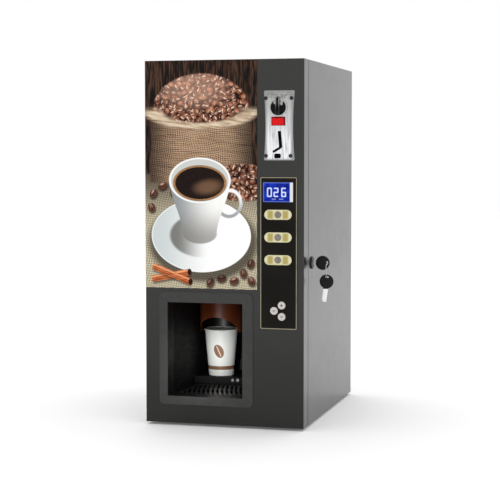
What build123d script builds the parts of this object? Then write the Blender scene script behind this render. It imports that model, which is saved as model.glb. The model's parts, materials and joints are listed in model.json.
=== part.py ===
from build123d import *
import math
import os

os.makedirs("parts", exist_ok=True)

# Hot coffee vending machine with three powder canisters, a cup dropper and a coin door.
# Millimetres. X to the right seen from the front, Y to the back, Z up.
# The origin is on the floor under the centre of the cabinet.

# ---------------------------------------------------------------- driving dimensions
WIDTH = 304.0
DEPTH = 440.0
HEIGHT = 675.0
FOOT_HEIGHT = 5.0
FOOT_RADIUS = 13.0
FOOT_INSET = 45.0
SHEET = 1.2
FLANGE = 12.0
FRONT_LIP = 14.0
DOOR_DEPTH = 34.5
SEAM = 2.5

LEFT, RIGHT = -WIDTH / 2, WIDTH / 2
FRONT, BACK = -DEPTH / 2, DEPTH / 2
BOTTOM, TOP = FOOT_HEIGHT, FOOT_HEIGHT + HEIGHT
DOOR_BACK = FRONT + DOOR_DEPTH
CABINET_FRONT = DOOR_BACK + SEAM
INNER_LEFT, INNER_RIGHT = LEFT + SHEET, RIGHT - SHEET
SKIN_BACK = FRONT + SHEET
REAR_INNER = BACK - SHEET

# Door hinges: knuckles outside the left side, in line with the door seam
HINGE_X = LEFT - 3.3
HINGE_Y = (DOOR_BACK + CABINET_FRONT) / 2
KNUCKLE_RADIUS = 2.8
HINGE_PIN_RADIUS = 1.5
HINGE_RUNNING_GAP = 0.05
HINGE_HEIGHT = 60.0
HINGE_LEAF = 1.2
HINGE_CENTRES = (110.0, 570.0)

# Delivery bay: opening in the door, liner behind it
BAY_X = (-108.5, 36.5)
BAY_Z = (56.0, 232.0)
BAY_FRAME_X = (-125.0, 56.5)
BAY_FRAME_Z = (39.2, 252.1)
BAY_FRAME_RADIUS = 10.0
BAY_FRAME_PROUD = 2.5
THROAT_WALL = 2.5
LINER_X = (-116.0, 44.0)
LINER_Z = (22.5, 250.0)
LINER_BACK = 75.0
LINER_WALL = 2.5
PLATFORM_Y = -30.0
PLATFORM_Z = 65.0
REAR_LIP_Z = 88.0
PLATFORM_SCREW_X = (-37.0, -26.5)
PLATFORM_SCREW_Z = 59.0
GRILLE_Z = 50.0
GRILLE_THICKNESS = 3.0
TRAY_X = (-112.0, 40.0)
TRAY_Y = (-180.0, -33.0)

# Cup, drop chute and cup dispenser share one vertical axis
CUP_X, CUP_Y = -70.0, 5.0
CUP_HEIGHT = 93.0
CUP_RIM_RADIUS = 35.4
CUP_BASE_RADIUS = 25.0
CHUTE_RADIUS = 42.5
CHUTE_WALL = 2.0
CHUTE_LOW = 152.0
CHUTE_APEX = 184.0
RING_INNER = 39.5
RING_OUTER = 49.0
DISPENSER_WALL = 3.0
DISPENSER_Z = (252.5, 282.0)
CUP_TUBE_TOP = 640.0

# Front panel items
PICTURE_X = (-151.5, 64.0)
PICTURE_Z = (259.0, 679.5)
PICTURE_THICKNESS = 0.8
PANEL_X = (70.3, 139.8)
PANEL_Z = (187.0, 466.0)
PANEL_THICKNESS = 1.5
LCD_X = (75.5, 132.1)
LCD_Z = (420.1, 456.3)
PLATE_X = (78.2, 129.6)
PLATE_MIDDLE = (PLATE_X[0] + PLATE_X[1]) / 2
PLATE_HEIGHT = 18.3
PLATE_PROUD = 1.6
PLATE_CENTRES = (397.2, 355.8, 314.4)
SELECT_RADIUS = 6.0
MENU_RADIUS = 7.2
MENU_CENTRES = ((111.0, 231.4), (96.7, 221.1), (111.1, 210.5))
BUTTON_GAP = 0.3
BUTTON_STEM_RADIUS = 2.5
SWITCH_GAP = 1.6
SWITCH_HEIGHT = 5.0
BOARD_Y = -206.0

# Coin acceptor
COIN_X = (76.4, 135.1)
COIN_Z = (495.6, 622.9)
COIN_WAIST = 3.2
COIN_THICKNESS = 2.5
COIN_CENTRE = (104.5, 592.0)
COIN_SCREWS = ((80.9, 608.7), (129.1, 608.7), (81.4, 504.3), (127.4, 504.3))
RETURN_X = (91.4, 117.7)
RETURN_Z = (559.1, 575.3)
MECH_X = (79.0, 133.0)
MECH_Z = (500.0, 618.0)
MECH_BACK = -152.0
COIN_HOLE_X = (88.0, 121.0)
COIN_HOLE_Z = (498.0, 613.0)
SLOT_X = (COIN_CENTRE[0] - 2.3, COIN_CENTRE[0] + 0.3)
SLOT_Z = (COIN_CENTRE[1] - 8.0, COIN_CENTRE[1] + 20.0)

# Powder and water side
CANISTER_CENTRES = (-92.0, 0.0, 92.0)
CANISTER_HALF = 42.0
CANISTER_Y = (92.0, 180.0)
CANISTER_Z = (461.0, 630.0)
CANISTER_WALL = 2.0
AUGER_Z = 478.0
AUGER_RADIUS = 13.0
AUGER_SHAFT = 4.0
AUGER_PITCH = 11.0
AUGER_FLIGHTS = 9
FLIGHT_TILT = 14.0
FUNNEL_TOP = 520.0
OUTLET_Y = 80.0
OUTLET_LOW = 446.0
BOWL_Y = 82.0
BOWL_RADIUS = 30.0
BOWL_WALL = 2.0
BOWL_Z = (405.0, 440.0)
WHIP_Z = 392.0
WHIP_RADIUS = 17.0
WHIP_SHAFT = 2.5
WHIP_Y = (62.0, 102.0)
BOWL_OUTLET = (70.0, 354.0)
WATER_SIDE = 14.0
WATER_Z = 430.0
MOTOR_WALL_Y = 188.0
MOTOR_WALL_TOP = 520.0
BULKHEAD_Y = 114.0
BULKHEAD_LOW = 340.0
SPIGOT_END = 126.0
BOILER = (85.0, 150.0)
BOILER_RADIUS = 48.0
BOILER_Z = (40.0, 200.0)
VALVE_X = (55.0, 85.0, 115.0)
VALVE_TOP = 240.0
NOZZLE_X = (-82.0, -70.0, -58.0)
NOZZLE_LOW = 202.0
NOZZLE_Z = 225.0
HOSE_RADIUS = 4.0

# Side lock with its key, and the spare key hanging from it
LOCK_Y, LOCK_Z = -155.0, 306.0
LOCK_BODY_RADIUS = 9.5
LOCK_PLUG_RADIUS = 6.0
LOCK_INNER_X = 131.0
BOW_X = 173.0
BOW_RADIUS = 13.2
BOW_THICKNESS = 4.0
BOW_SLOT = (3.4, 7.0)
BOW_SLOT_OFFSET = 8.6
RING_DROP = 26.0
RING_WIRE = 0.7
KEY_TILT = 8.0
KEEPER_X, KEEPER_Y = 124.0, -148.0


# ---------------------------------------------------------------- small helpers
def block(x, y, z):
    """Box from its low and high limits along each axis."""
    centre = Pos((x[0] + x[1]) / 2, (y[0] + y[1]) / 2, (z[0] + z[1]) / 2)
    return centre * Box(x[1] - x[0], y[1] - y[0], z[1] - z[0])


def rod_x(y, z, radius, x):
    """Cylinder along X between two x limits."""
    return Pos((x[0] + x[1]) / 2, y, z) * Rot(0, 90, 0) * Cylinder(radius, x[1] - x[0])


def rod_y(x, z, radius, y):
    """Cylinder along Y between two y limits."""
    return Pos(x, (y[0] + y[1]) / 2, z) * Rot(90, 0, 0) * Cylinder(radius, y[1] - y[0])


def rod_z(x, y, radius, z):
    """Cylinder along Z between two z limits."""
    return Pos(x, y, (z[0] + z[1]) / 2) * Cylinder(radius, z[1] - z[0])


def upright(sketch, y):
    """Extrude a sketch drawn in front view (x, z) between two y limits."""
    plane = Plane(origin=(0, y[0], 0), x_dir=(1, 0, 0), z_dir=(0, -1, 0))
    return extrude(plane * sketch, amount=-(y[1] - y[0]))


def front_rectangle(x, z, radius=0.0):
    """Front-view rectangle from its limits, with round corners if asked."""
    place = Pos((x[0] + x[1]) / 2, (z[0] + z[1]) / 2)
    if radius:
        return place * RectangleRounded(x[1] - x[0], z[1] - z[0], radius)
    return place * Rectangle(x[1] - x[0], z[1] - z[0])


def group(shapes):
    """Separate solids that share one node."""
    return Compound(children=list(shapes))


def save(name, shape):
    """Write one node."""
    export_step(shape, f"parts/{name}.step")


# ---------------------------------------------------------------- cabinet
def make_feet():
    feet = []
    for x in (LEFT + FOOT_INSET, RIGHT - FOOT_INSET):
        for y in (CABINET_FRONT + FOOT_INSET, BACK - FOOT_INSET):
            foot = rod_z(x, y, FOOT_RADIUS, (0, BOTTOM))
            feet.append(chamfer(foot.edges().sort_by(Axis.Z)[0], 1.0))
    return group(feet)


def make_base_pan():
    floor = block((INNER_LEFT, INNER_RIGHT), (CABINET_FRONT, BACK), (BOTTOM, BOTTOM + SHEET))
    lip_x = (INNER_LEFT + FLANGE, INNER_RIGHT - FLANGE)
    lip = block(lip_x, (CABINET_FRONT, CABINET_FRONT + SHEET), (BOTTOM, BOTTOM + FRONT_LIP))
    return floor + lip


def make_side_panel(side):
    outer = LEFT if side < 0 else RIGHT
    inner = outer - side * SHEET
    lip = inner - side * FLANGE
    wall = block(sorted((outer, inner)), (CABINET_FRONT, BACK), (BOTTOM, TOP))
    flange_z = (BOTTOM + SHEET, TOP - SHEET)
    panel = wall + block(sorted((inner, lip)), (CABINET_FRONT, CABINET_FRONT + SHEET), flange_z)
    if side > 0:
        panel -= rod_x(LOCK_Y, LOCK_Z, LOCK_BODY_RADIUS + 0.1, (INNER_RIGHT - 1, RIGHT + 1))
    return panel


def make_top_panel():
    sheet = block((INNER_LEFT, INNER_RIGHT), (CABINET_FRONT, BACK), (TOP - SHEET, TOP))
    lip_x = (INNER_LEFT + FLANGE, INNER_RIGHT - FLANGE)
    lip = block(lip_x, (CABINET_FRONT, CABINET_FRONT + SHEET), (TOP - FRONT_LIP, TOP))
    return sheet + lip


REAR_SCREW_X = (-140.0, 140.0)
REAR_SCREW_Z = (30.0, 342.0, 655.0)
INLET_X = (-118.0, -86.0)
INLET_Z = (36.0, 62.0)
INLET_FRONT = 196.0
INLET_FLANGE = (50.0, 30.0)
SPIGOT = (-60.0, 34.0)
SPIGOT_RADIUS = 6.0
SPIGOT_LENGTH = 12.0
SPIGOT_END_Y = BACK + 16.0
VENT_X = (-46.0, 46.0)
VENT_BASES = (130.0, 520.0)
VENT_ROWS = 9
VENT_PITCH = 12.0
VENT_SLOT = (76.0, 4.5)
SCREW_SHANK_RADIUS = 1.5
SCREW_HEAD_RADIUS = 3.6
SCREW_HEAD_HEIGHT = 1.8
SCREW_LENGTH = 7.0
CROSS_HALF = (0.45, 2.0)


def make_rear_panel():
    panel = block((INNER_LEFT, INNER_RIGHT), (REAR_INNER, BACK), (BOTTOM + SHEET, TOP - SHEET))
    cut = (REAR_INNER - 1, BACK + 1)
    vents = Sketch()
    for x in VENT_X:
        for base in VENT_BASES:
            for row in range(VENT_ROWS):
                vents += Pos(x, base + VENT_PITCH * row) * SlotOverall(*VENT_SLOT)
    panel -= upright(vents, cut)
    panel -= upright(front_rectangle(INLET_X, INLET_Z), cut)
    panel -= rod_y(*SPIGOT, SPIGOT_RADIUS + 1.0, cut)
    for x in REAR_SCREW_X:
        for z in REAR_SCREW_Z:
            panel -= rod_y(x, z, SCREW_SHANK_RADIUS + 0.1, cut)
    return panel


def make_pan_screw(x, z, y_head, inward):
    """Pan-head screw on a face normal to Y, with inward +1 where the shank runs along +Y."""
    head = rod_y(x, z, SCREW_HEAD_RADIUS, sorted((y_head, y_head - inward * SCREW_HEAD_HEIGHT)))
    edges = head.edges().sort_by(Axis.Y)
    head = fillet(edges[0] if inward > 0 else edges[-1], 1.2)
    shank = rod_y(x, z, SCREW_SHANK_RADIUS, sorted((y_head, y_head + inward * SCREW_LENGTH)))
    narrow, wide = CROSS_HALF
    recess = sorted((y_head - inward * 1.0, y_head - inward * (SCREW_HEAD_HEIGHT + 1.0)))
    cross = block((x - narrow, x + narrow), recess, (z - wide, z + wide))
    cross += block((x - wide, x + wide), recess, (z - narrow, z + narrow))
    return head + shank - cross


def make_cabinet_screws():
    """Six screws in the rear panel and two in the front step of the cup platform."""
    screws = []
    for x in REAR_SCREW_X:
        for z in REAR_SCREW_Z:
            screws.append(make_pan_screw(x, z, BACK, -1))
    for x in PLATFORM_SCREW_X:
        screws.append(make_pan_screw(x, PLATFORM_SCREW_Z, PLATFORM_Y, 1))
    return group(screws)


def make_mains_inlet():
    """Three-pin mains socket with its flange outside the rear panel."""
    gap = 0.2
    socket_floor = INLET_FRONT + 8
    body_z = (INLET_Z[0] + gap, INLET_Z[1] - gap)
    body = block((INLET_X[0] + gap, INLET_X[1] - gap), (INLET_FRONT, BACK), body_z)
    middle = Pos((INLET_X[0] + INLET_X[1]) / 2, 0, (INLET_Z[0] + INLET_Z[1]) / 2)
    flange = middle * upright(RectangleRounded(*INLET_FLANGE, 4), (BACK, BACK + 2.5))
    socket = middle * block((-12.3, 12.3), (socket_floor, BACK + 5), (-8.2, 8.2))
    inlet = body + flange - socket
    for x, z in ((0, 3.0), (-7.0, -2.0), (7.0, -2.0)):
        inlet += middle * block((x - 1, x + 1), (socket_floor - 1, socket_floor + 10), (z - 2, z + 2))
    return inlet


# ---------------------------------------------------------------- delivery bay
def make_bay_liner():
    outer_x = (LINER_X[0] - LINER_WALL, LINER_X[1] + LINER_WALL)
    outer_z = (LINER_Z[0] - LINER_WALL, LINER_Z[1] + LINER_WALL)
    shell = block(outer_x, (CABINET_FRONT + 2, LINER_BACK + LINER_WALL), outer_z)
    shell -= block(LINER_X, (CABINET_FRONT, LINER_BACK), LINER_Z)
    shell -= rod_z(CUP_X, CUP_Y, CHUTE_RADIUS + 0.4, (LINER_Z[1] - 1, outer_z[1] + 1))
    hose_hole = block((CUP_X - 20, CUP_X + 20), (58, 71), (LINER_Z[1] - 1, outer_z[1] + 1))
    return shell - hose_hole


def make_platform():
    """Raised shelf for the cup, with a front step and a rear lip."""
    x = (LINER_X[0] + 0.3, LINER_X[1] - 0.3)
    under = PLATFORM_Z - LINER_WALL
    shelf = block(x, (PLATFORM_Y, LINER_BACK), (under, PLATFORM_Z))
    step = block(x, (PLATFORM_Y, PLATFORM_Y + LINER_WALL), (LINER_Z[0], PLATFORM_Z))
    lip = block(x, (LINER_BACK - 6, LINER_BACK), (under, REAR_LIP_Z))
    body = shelf + step + lip
    for ring in (CUP_BASE_RADIUS + 2.0, CUP_BASE_RADIUS + 5.0):
        groove = Cylinder(ring, 1.6) - Cylinder(ring - 1.0, 1.6)
        body -= Pos(CUP_X, CUP_Y, PLATFORM_Z) * groove
    for screw_x in PLATFORM_SCREW_X:
        body -= rod_y(screw_x, PLATFORM_SCREW_Z, SCREW_SHANK_RADIUS, (PLATFORM_Y - 1, PLATFORM_Y + 8))
    return body


TRAY_WALL = 2.0
TRAY_CORNER = 5.0


def make_drip_tray():
    z = (LINER_Z[0] + 0.5, GRILLE_Z - GRILLE_THICKNESS - 0.3)
    tray = block(TRAY_X, TRAY_Y, z)
    tray = fillet(tray.edges().filter_by(Axis.Z), TRAY_CORNER)
    inner_x = (TRAY_X[0] + TRAY_WALL, TRAY_X[1] - TRAY_WALL)
    inner_y = (TRAY_Y[0] + TRAY_WALL, TRAY_Y[1] - TRAY_WALL)
    inner = block(inner_x, inner_y, (z[0] + TRAY_WALL, z[1] + 1))
    return tray - fillet(inner.edges().filter_by(Axis.Z), TRAY_CORNER - TRAY_WALL / 2)


ARC_CENTRE = (539.0, 60.0)
ARC_PITCH = 9.0
ARC_SLOT = 4.6
ARC_SLOTS = range(-3, 24)
GRILLE_BORDER = 5.0
GRILLE_TIES = (-132.5, -82.5)
TIE_HALF = 1.5


def make_grille():
    """Drip grille with long curved slots swept about a far centre, crossed by two ties."""
    z = (GRILLE_Z - GRILLE_THICKNESS, GRILLE_Z)
    plate = block(TRAY_X, TRAY_Y, z)
    plate = fillet(plate.edges().filter_by(Axis.Z), TRAY_CORNER)
    inside_x = (TRAY_X[0] + GRILLE_BORDER, TRAY_X[1] - GRILLE_BORDER)
    inside_y = (TRAY_Y[0] + GRILLE_BORDER, TRAY_Y[1] - GRILLE_BORDER)
    inside = block(inside_x, inside_y, (z[0] - 1, z[1] + 1))
    near = math.hypot(ARC_CENTRE[0] - TRAY_X[1], 100.0)
    slots = []
    for index in ARC_SLOTS:
        radius = near + ARC_PITCH * index
        ring = Cylinder(radius + ARC_SLOT / 2, 10) - Cylinder(radius - ARC_SLOT / 2, 10)
        slots.append(Pos(ARC_CENTRE[0], ARC_CENTRE[1], z[0]) * ring)
    cutter = Part() + slots
    for y in GRILLE_TIES:
        inside -= block(TRAY_X, (y - TIE_HALF, y + TIE_HALF), (z[0] - 1, z[0] + 1.8))
    return plate - (cutter & inside)


def make_chute():
    """Tinted tube that guides the falling cup, cut to an arch at the front."""
    tube = rod_z(CUP_X, CUP_Y, CHUTE_RADIUS, (CHUTE_LOW, LINER_Z[1] + LINER_WALL))
    tube -= rod_z(CUP_X, CUP_Y, CHUTE_RADIUS - CHUTE_WALL, (CHUTE_LOW - 1, 300))
    arch = Pos(CUP_X, CHUTE_LOW) * Ellipse(CHUTE_RADIUS - 2.6, CHUTE_APEX - CHUTE_LOW)
    tube -= upright(arch, (CUP_Y - CHUTE_RADIUS - 2, CUP_Y - 4))
    window_x = (CUP_X - 19, CUP_X + 19)
    window_z = (NOZZLE_LOW - 6, NOZZLE_Z + 5)
    return tube - block(window_x, (CUP_Y + 20, CUP_Y + CHUTE_RADIUS + 2), window_z)


def make_nozzle_block():
    """Block behind the chute whose three spouts lean forward over the cup."""
    body = block((CUP_X - 18, CUP_X + 18), (56, 73), (NOZZLE_LOW, NOZZLE_Z))
    body = fillet(body.edges().filter_by(Axis.Z), 2.5)
    for x in NOZZLE_X:
        lean = Pos(x, 46, NOZZLE_LOW + 5) * Rot(65, 0, 0)
        bore_limit = block((x - 5, x + 5), (20, 64), (NOZZLE_LOW - 22, NOZZLE_LOW + 18))
        body += lean * Cylinder(3.6, 32)
        body -= (lean * Cylinder(2.2, 60)) & bore_limit
    return body


def make_cup():
    """Paper cup with a rolled rim and a foot recess."""
    wall = 0.9
    roll_radius = 1.5
    top_radius = CUP_RIM_RADIUS - 2.2
    stand = Pos(CUP_X, CUP_Y, PLATFORM_Z)
    outer = stand * make_cone(CUP_BASE_RADIUS, top_radius, CUP_HEIGHT)
    hollow = stand * make_cone(CUP_BASE_RADIUS - wall, top_radius - wall, CUP_HEIGHT)
    floor_slab = rod_z(CUP_X, CUP_Y, CUP_RIM_RADIUS, (PLATFORM_Z + 5, PLATFORM_Z + 6))
    shell = outer - hollow + (outer & floor_slab)
    roll = Torus(CUP_RIM_RADIUS - roll_radius - 0.2, roll_radius)
    return shell + stand * Pos(0, 0, CUP_HEIGHT - roll_radius) * roll


def make_cone(low, high, height):
    """Solid cone frustum standing on its own origin."""
    return Pos(0, 0, height / 2) * Cone(low, high, height)


# ---------------------------------------------------------------- cup dispenser
def make_dispenser_base():
    """Round housing around the drop ring, with ears to the liner roof."""
    low, high = DISPENSER_Z
    race = RING_OUTER + 0.6
    body = rod_z(CUP_X, CUP_Y, race + DISPENSER_WALL, DISPENSER_Z)
    body += block((CUP_X - 46, CUP_X + 85), (CUP_Y - 30, CUP_Y + 30), (low, low + DISPENSER_WALL))
    body -= rod_z(CUP_X, CUP_Y, race, (low + DISPENSER_WALL, high - DISPENSER_WALL))
    return body - rod_z(CUP_X, CUP_Y, RING_INNER, (low - 1, high + 1))


def make_drop_ring():
    """Turning ring whose three lugs hold the stack by the cup rims."""
    z = (DISPENSER_Z[0] + 3.5, DISPENSER_Z[1] - 3.5)
    ring = rod_z(CUP_X, CUP_Y, RING_OUTER, z) - rod_z(CUP_X, CUP_Y, RING_INNER, (z[0] - 1, z[1] + 1))
    lug_x = (RING_INNER - 4.5, RING_INNER + 3)
    for index in range(3):
        lug = block(lug_x, (-9, 9), (z[1] - 6, z[1] - 3))
        lug += block(lug_x, (12, 24), (z[0] + 3, z[0] + 6))
        ring += Pos(CUP_X, CUP_Y, 0) * Rot(0, 0, 120 * index) * lug
    return ring


def make_cup_tube():
    z = (DISPENSER_Z[1], CUP_TUBE_TOP)
    tube = rod_z(CUP_X, CUP_Y, RING_INNER + 2, z)
    tube += rod_z(CUP_X, CUP_Y, RING_OUTER + 2, (z[0], z[0] + 3))
    tube += rod_z(CUP_X, CUP_Y, RING_INNER + 4.5, (z[1] - 6, z[1]))
    return tube - rod_z(CUP_X, CUP_Y, RING_INNER - 0.5, (z[0] - 1, z[1] + 1))


def make_cup_motor():
    """Geared motor beside the drop ring."""
    base, top = DISPENSER_Z[0] + DISPENSER_WALL, 280.0
    gearbox = block((-14, 14), (-20, 30), (base, top))
    gearbox = fillet(gearbox.edges().filter_by(Axis.Z), 3.0)
    return gearbox + rod_z(0, CUP_Y, 12.5, (top, top + 32)) + rod_z(0, CUP_Y, 3.0, (top + 32, top + 36))


# ---------------------------------------------------------------- powder and mixing
def make_canister(x):
    """Open-topped powder box with a V bottom, a feed trough and a down spout."""
    half = CANISTER_HALF
    body = block((x - half, x + half), CANISTER_Y, CANISTER_Z)
    body = fillet(body.edges().filter_by(Axis.Z), 4.0)
    nose = (OUTLET_Y - 15, CANISTER_Y[0] + 1)
    body += rod_y(x, AUGER_Z, AUGER_RADIUS + 4, nose)
    body += rod_z(x, OUTLET_Y, AUGER_RADIUS, (OUTLET_LOW, AUGER_Z))
    inner_y = (CANISTER_Y[0] + CANISTER_WALL, CANISTER_Y[1] - CANISTER_WALL)
    inner_x = (x - half + CANISTER_WALL, x + half - CANISTER_WALL)
    hollow = block(inner_x, inner_y, (FUNNEL_TOP, CANISTER_Z[1] + 1))
    low = AUGER_RADIUS + 2
    funnel = [(inner_x[0], FUNNEL_TOP), (inner_x[1], FUNNEL_TOP), (x + low, AUGER_Z), (x - low, AUGER_Z)]
    hollow += upright(make_face(Polyline(*funnel, close=True)), inner_y)
    hollow += rod_y(x, AUGER_Z, low, (nose[0] + 2, inner_y[1]))
    hollow += rod_z(x, OUTLET_Y, AUGER_RADIUS - 2, (OUTLET_LOW - 1, AUGER_Z))
    body -= hollow
    return body - rod_y(x, AUGER_Z, AUGER_SHAFT + 0.05, (CANISTER_Y[1] - 10, CANISTER_Y[1] + 10))


def make_auger(x):
    """Feed screw: a shaft with tilted flights and a drive dog at the back."""
    end = CANISTER_Y[1] + 6
    screw = rod_y(x, AUGER_Z, AUGER_SHAFT, (OUTLET_Y - 8, end))
    for index in range(AUGER_FLIGHTS):
        centre = Pos(x, OUTLET_Y + AUGER_PITCH * index, AUGER_Z)
        screw += centre * Rot(90 + FLIGHT_TILT, 0, 0) * Cylinder(AUGER_RADIUS - 1.5, 1.6)
    return screw + block((x - 8, x + 8), (end - 3, end), (AUGER_Z - 3, AUGER_Z + 3))


def make_canister_cover():
    """One lift-off dust cover over the three canisters."""
    edge = 2.0
    wall = 1.7
    x = (CANISTER_CENTRES[0] - CANISTER_HALF - edge, CANISTER_CENTRES[2] + CANISTER_HALF + edge)
    y = (CANISTER_Y[0] - edge, CANISTER_Y[1] + edge)
    z = (CANISTER_Z[1] - 6, CANISTER_Z[1] + 2.5)
    cover = fillet(block(x, y, z).edges().filter_by(Axis.Z), 4.0)
    cover -= block((x[0] + wall, x[1] - wall), (y[0] + wall, y[1] - wall), (z[0] - 1, z[1] - 2.2))
    for centre in CANISTER_CENTRES:
        cover += block((centre - 20, centre + 20), (132, 140), (z[1], z[1] + 6))
    return cover


def make_machine_frame():
    """Bent sheet bracket: shelf for the canisters, motor wall and mixer wall."""
    x = (INNER_LEFT, INNER_RIGHT)
    shelf_z = (CANISTER_Z[0] - SHEET, CANISTER_Z[0])
    bulkhead_cut = (BULKHEAD_Y - 1, BULKHEAD_Y + 2)
    frame = block(x, (97, MOTOR_WALL_Y + SHEET), shelf_z)
    frame += block(x, (MOTOR_WALL_Y, MOTOR_WALL_Y + SHEET), (CANISTER_Z[0], MOTOR_WALL_TOP))
    frame += block(x, (BULKHEAD_Y, BULKHEAD_Y + SHEET), (BULKHEAD_LOW, CANISTER_Z[0]))
    for centre in CANISTER_CENTRES:
        frame -= rod_y(centre, AUGER_Z, 9.0, (MOTOR_WALL_Y - 1, MOTOR_WALL_Y + 2))
        frame -= rod_y(centre, WHIP_Z, 6.0, bulkhead_cut)
        frame -= rod_y(centre + WATER_SIDE, WATER_Z, 4.2, bulkhead_cut)
    return frame


def make_drive_motors():
    """Three auger motors, three whipper motors and the cup-ring motor."""
    motors = [make_cup_motor()]
    can_radius = 16.0
    gearbox_y = (MOTOR_WALL_Y + SHEET, MOTOR_WALL_Y + 11)
    whip_end = BULKHEAD_Y + 42
    for x in CANISTER_CENTRES:
        motor = block((x - 22, x + 22), gearbox_y, (AUGER_Z - 14, AUGER_Z + 34))
        motor = fillet(motor.edges().filter_by(Axis.Y), 5.0)
        motors.append(motor + rod_y(x, AUGER_Z + 14, can_radius, (gearbox_y[1], gearbox_y[1] + 17)))
        can = rod_y(x, WHIP_Z, can_radius, (BULKHEAD_Y + SHEET, whip_end))
        can = fillet(can.edges().sort_by(Axis.Y)[-1], 3.0)
        motors.append(can + rod_y(x, WHIP_Z, 5.0, (whip_end, whip_end + 3)))
    return group(motors)


def make_mixing_bowl(x):
    """Funnel bowl on a round whipping chamber, with a water spigot and an outlet."""
    height = BOWL_Z[1] - BOWL_Z[0]
    neck = BOWL_RADIUS / 2
    outlet_y, outlet_z = BOWL_OUTLET
    bowl = Pos(x, BOWL_Y, BOWL_Z[0]) * make_cone(neck, BOWL_RADIUS, height)
    bowl += rod_y(x, WHIP_Z, WHIP_RADIUS + BOWL_WALL, WHIP_Y)
    bowl += rod_z(x, BOWL_Y, neck, (WHIP_Z, BOWL_Z[0]))
    bowl += rod_z(x, outlet_y, 6.0, (outlet_z, WHIP_Z))
    bowl += rod_y(x + WATER_SIDE, WATER_Z, 4.0, (95, SPIGOT_END))
    inner = Pos(x, BOWL_Y, BOWL_Z[0]) * make_cone(neck - BOWL_WALL, BOWL_RADIUS - BOWL_WALL, height + 0.1)
    inner += rod_y(x, WHIP_Z, WHIP_RADIUS, (WHIP_Y[0] + BOWL_WALL, WHIP_Y[1] - BOWL_WALL))
    inner += rod_z(x, BOWL_Y, neck - BOWL_WALL, (WHIP_Z, BOWL_Z[0]))
    inner += rod_z(x, outlet_y, 6.0 - BOWL_WALL, (outlet_z - 1, WHIP_Z))
    inner += rod_y(x + WATER_SIDE, WATER_Z, 2.5, (90, SPIGOT_END + 1))
    return bowl - inner - rod_y(x, WHIP_Z, WHIP_SHAFT + 0.05, (WHIP_Y[1] - 3, WHIP_Y[1] + 1))


def make_whipper(x):
    """Whipping impeller on its shaft."""
    wheel = rod_y(x, WHIP_Z, WHIP_SHAFT, (WHIP_Y[0] + 6, BULKHEAD_Y - 0.4))
    wheel += rod_y(x, WHIP_Z, 13.0, (WHIP_Y[0] + 24, WHIP_Y[0] + 26))
    for index in range(4):
        blade = block((-12, 12), (WHIP_Y[0] + 10, WHIP_Y[0] + 25), (-0.8, 0.8))
        wheel += Pos(x, 0, WHIP_Z) * Rot(0, 45 * index, 0) * blade
    return wheel


# ---------------------------------------------------------------- water side
def make_boiler():
    """Jacketed tank standing on a narrower skirt."""
    tank = rod_z(*BOILER, BOILER_RADIUS, BOILER_Z)
    tank = fillet(tank.edges().filter_by(GeomType.CIRCLE), 8.0)
    return tank + rod_z(*BOILER, 34.0, (BOTTOM + SHEET, BOILER_Z[0] + 9))


def make_valves():
    valves = []
    body_top = BOILER_Z[1] + 26
    for x in VALVE_X:
        body = block((x - 9, x + 9), (BOILER[1] - 14, BOILER[1] + 14), (BOILER_Z[1], body_top))
        body = fillet(body.edges().filter_by(Axis.Z), 2.0)
        valves.append(body + rod_z(x, BOILER[1], 4.0, (body_top, VALVE_TOP)))
    return group(valves)


def hose(points):
    """Round hose of straight runs joined by tangent arcs as large as the runs allow."""
    runs = [Vector(*b) - Vector(*a) for a, b in zip(points, points[1:])]
    radii = []
    for first, second in zip(runs, runs[1:]):
        half_turn = math.radians(first.get_angle(second)) / 2
        radii.append(0.45 * min(first.length, second.length) / math.tan(half_turn))
    path = FilletPolyline(*points, radius=radii)
    start = Plane(origin=points[0], z_dir=runs[0])
    return sweep(start * Circle(HOSE_RADIUS), path=path)


def make_hoses():
    """Three water hoses to the bowls and three drink hoses down to the nozzle block."""
    hoses = []
    for valve_x, bowl_x in zip(VALVE_X, CANISTER_CENTRES):
        end = bowl_x + WATER_SIDE
        hoses.append(hose([
            (valve_x, BOILER[1], VALVE_TOP),
            (valve_x, BOILER[1], 285),
            ((2 * valve_x + end) / 3, 166, 325),
            ((valve_x + 2 * end) / 3, 172, 370),
            (end, 166, 412),
            (end, 150, WATER_Z),
            (end, SPIGOT_END, WATER_Z),
        ]))
    for bowl_x, nozzle_x in zip(CANISTER_CENTRES, NOZZLE_X):
        hoses.append(hose([
            (bowl_x, *BOWL_OUTLET),
            (bowl_x, BOWL_OUTLET[0], 330),
            ((2 * bowl_x + nozzle_x) / 3, 66, 308),
            ((bowl_x + 2 * nozzle_x) / 3, 65, 290),
            (nozzle_x, 64, 262),
            (nozzle_x, 64, NOZZLE_Z),
        ]))
    return group(hoses)


def make_pump():
    """Water pump on two mounts, its inlet spigot reaching out through the rear panel."""
    x, z = SPIGOT
    y = (110, 168)
    pump = block((x - 20, x + 20), y, (z - 20, z + 20))
    pump = fillet(pump.edges().filter_by(Axis.Y), 6.0)
    pump += rod_y(x, z, 14.0, (y[1], y[1] + 28))
    pump += rod_y(x, z, SPIGOT_RADIUS + 0.5, (y[1] + 28, SPIGOT_END_Y - SPIGOT_LENGTH - 1.0))
    spout = rod_y(x, z, SPIGOT_RADIUS, (SPIGOT_END_Y - SPIGOT_LENGTH - 1.0, SPIGOT_END_Y))
    pump += chamfer(spout.edges().sort_by(Axis.Y)[-1], 1.0)
    pump -= rod_y(x, z, 3.5, (y[1] + 22, SPIGOT_END_Y + 4))
    for mount_y in (y[0] + 4, y[1] - 16):
        pump += block((x - 18, x + 18), (mount_y, mount_y + 12), (BOTTOM + SHEET, z - 19))
    return pump


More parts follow.
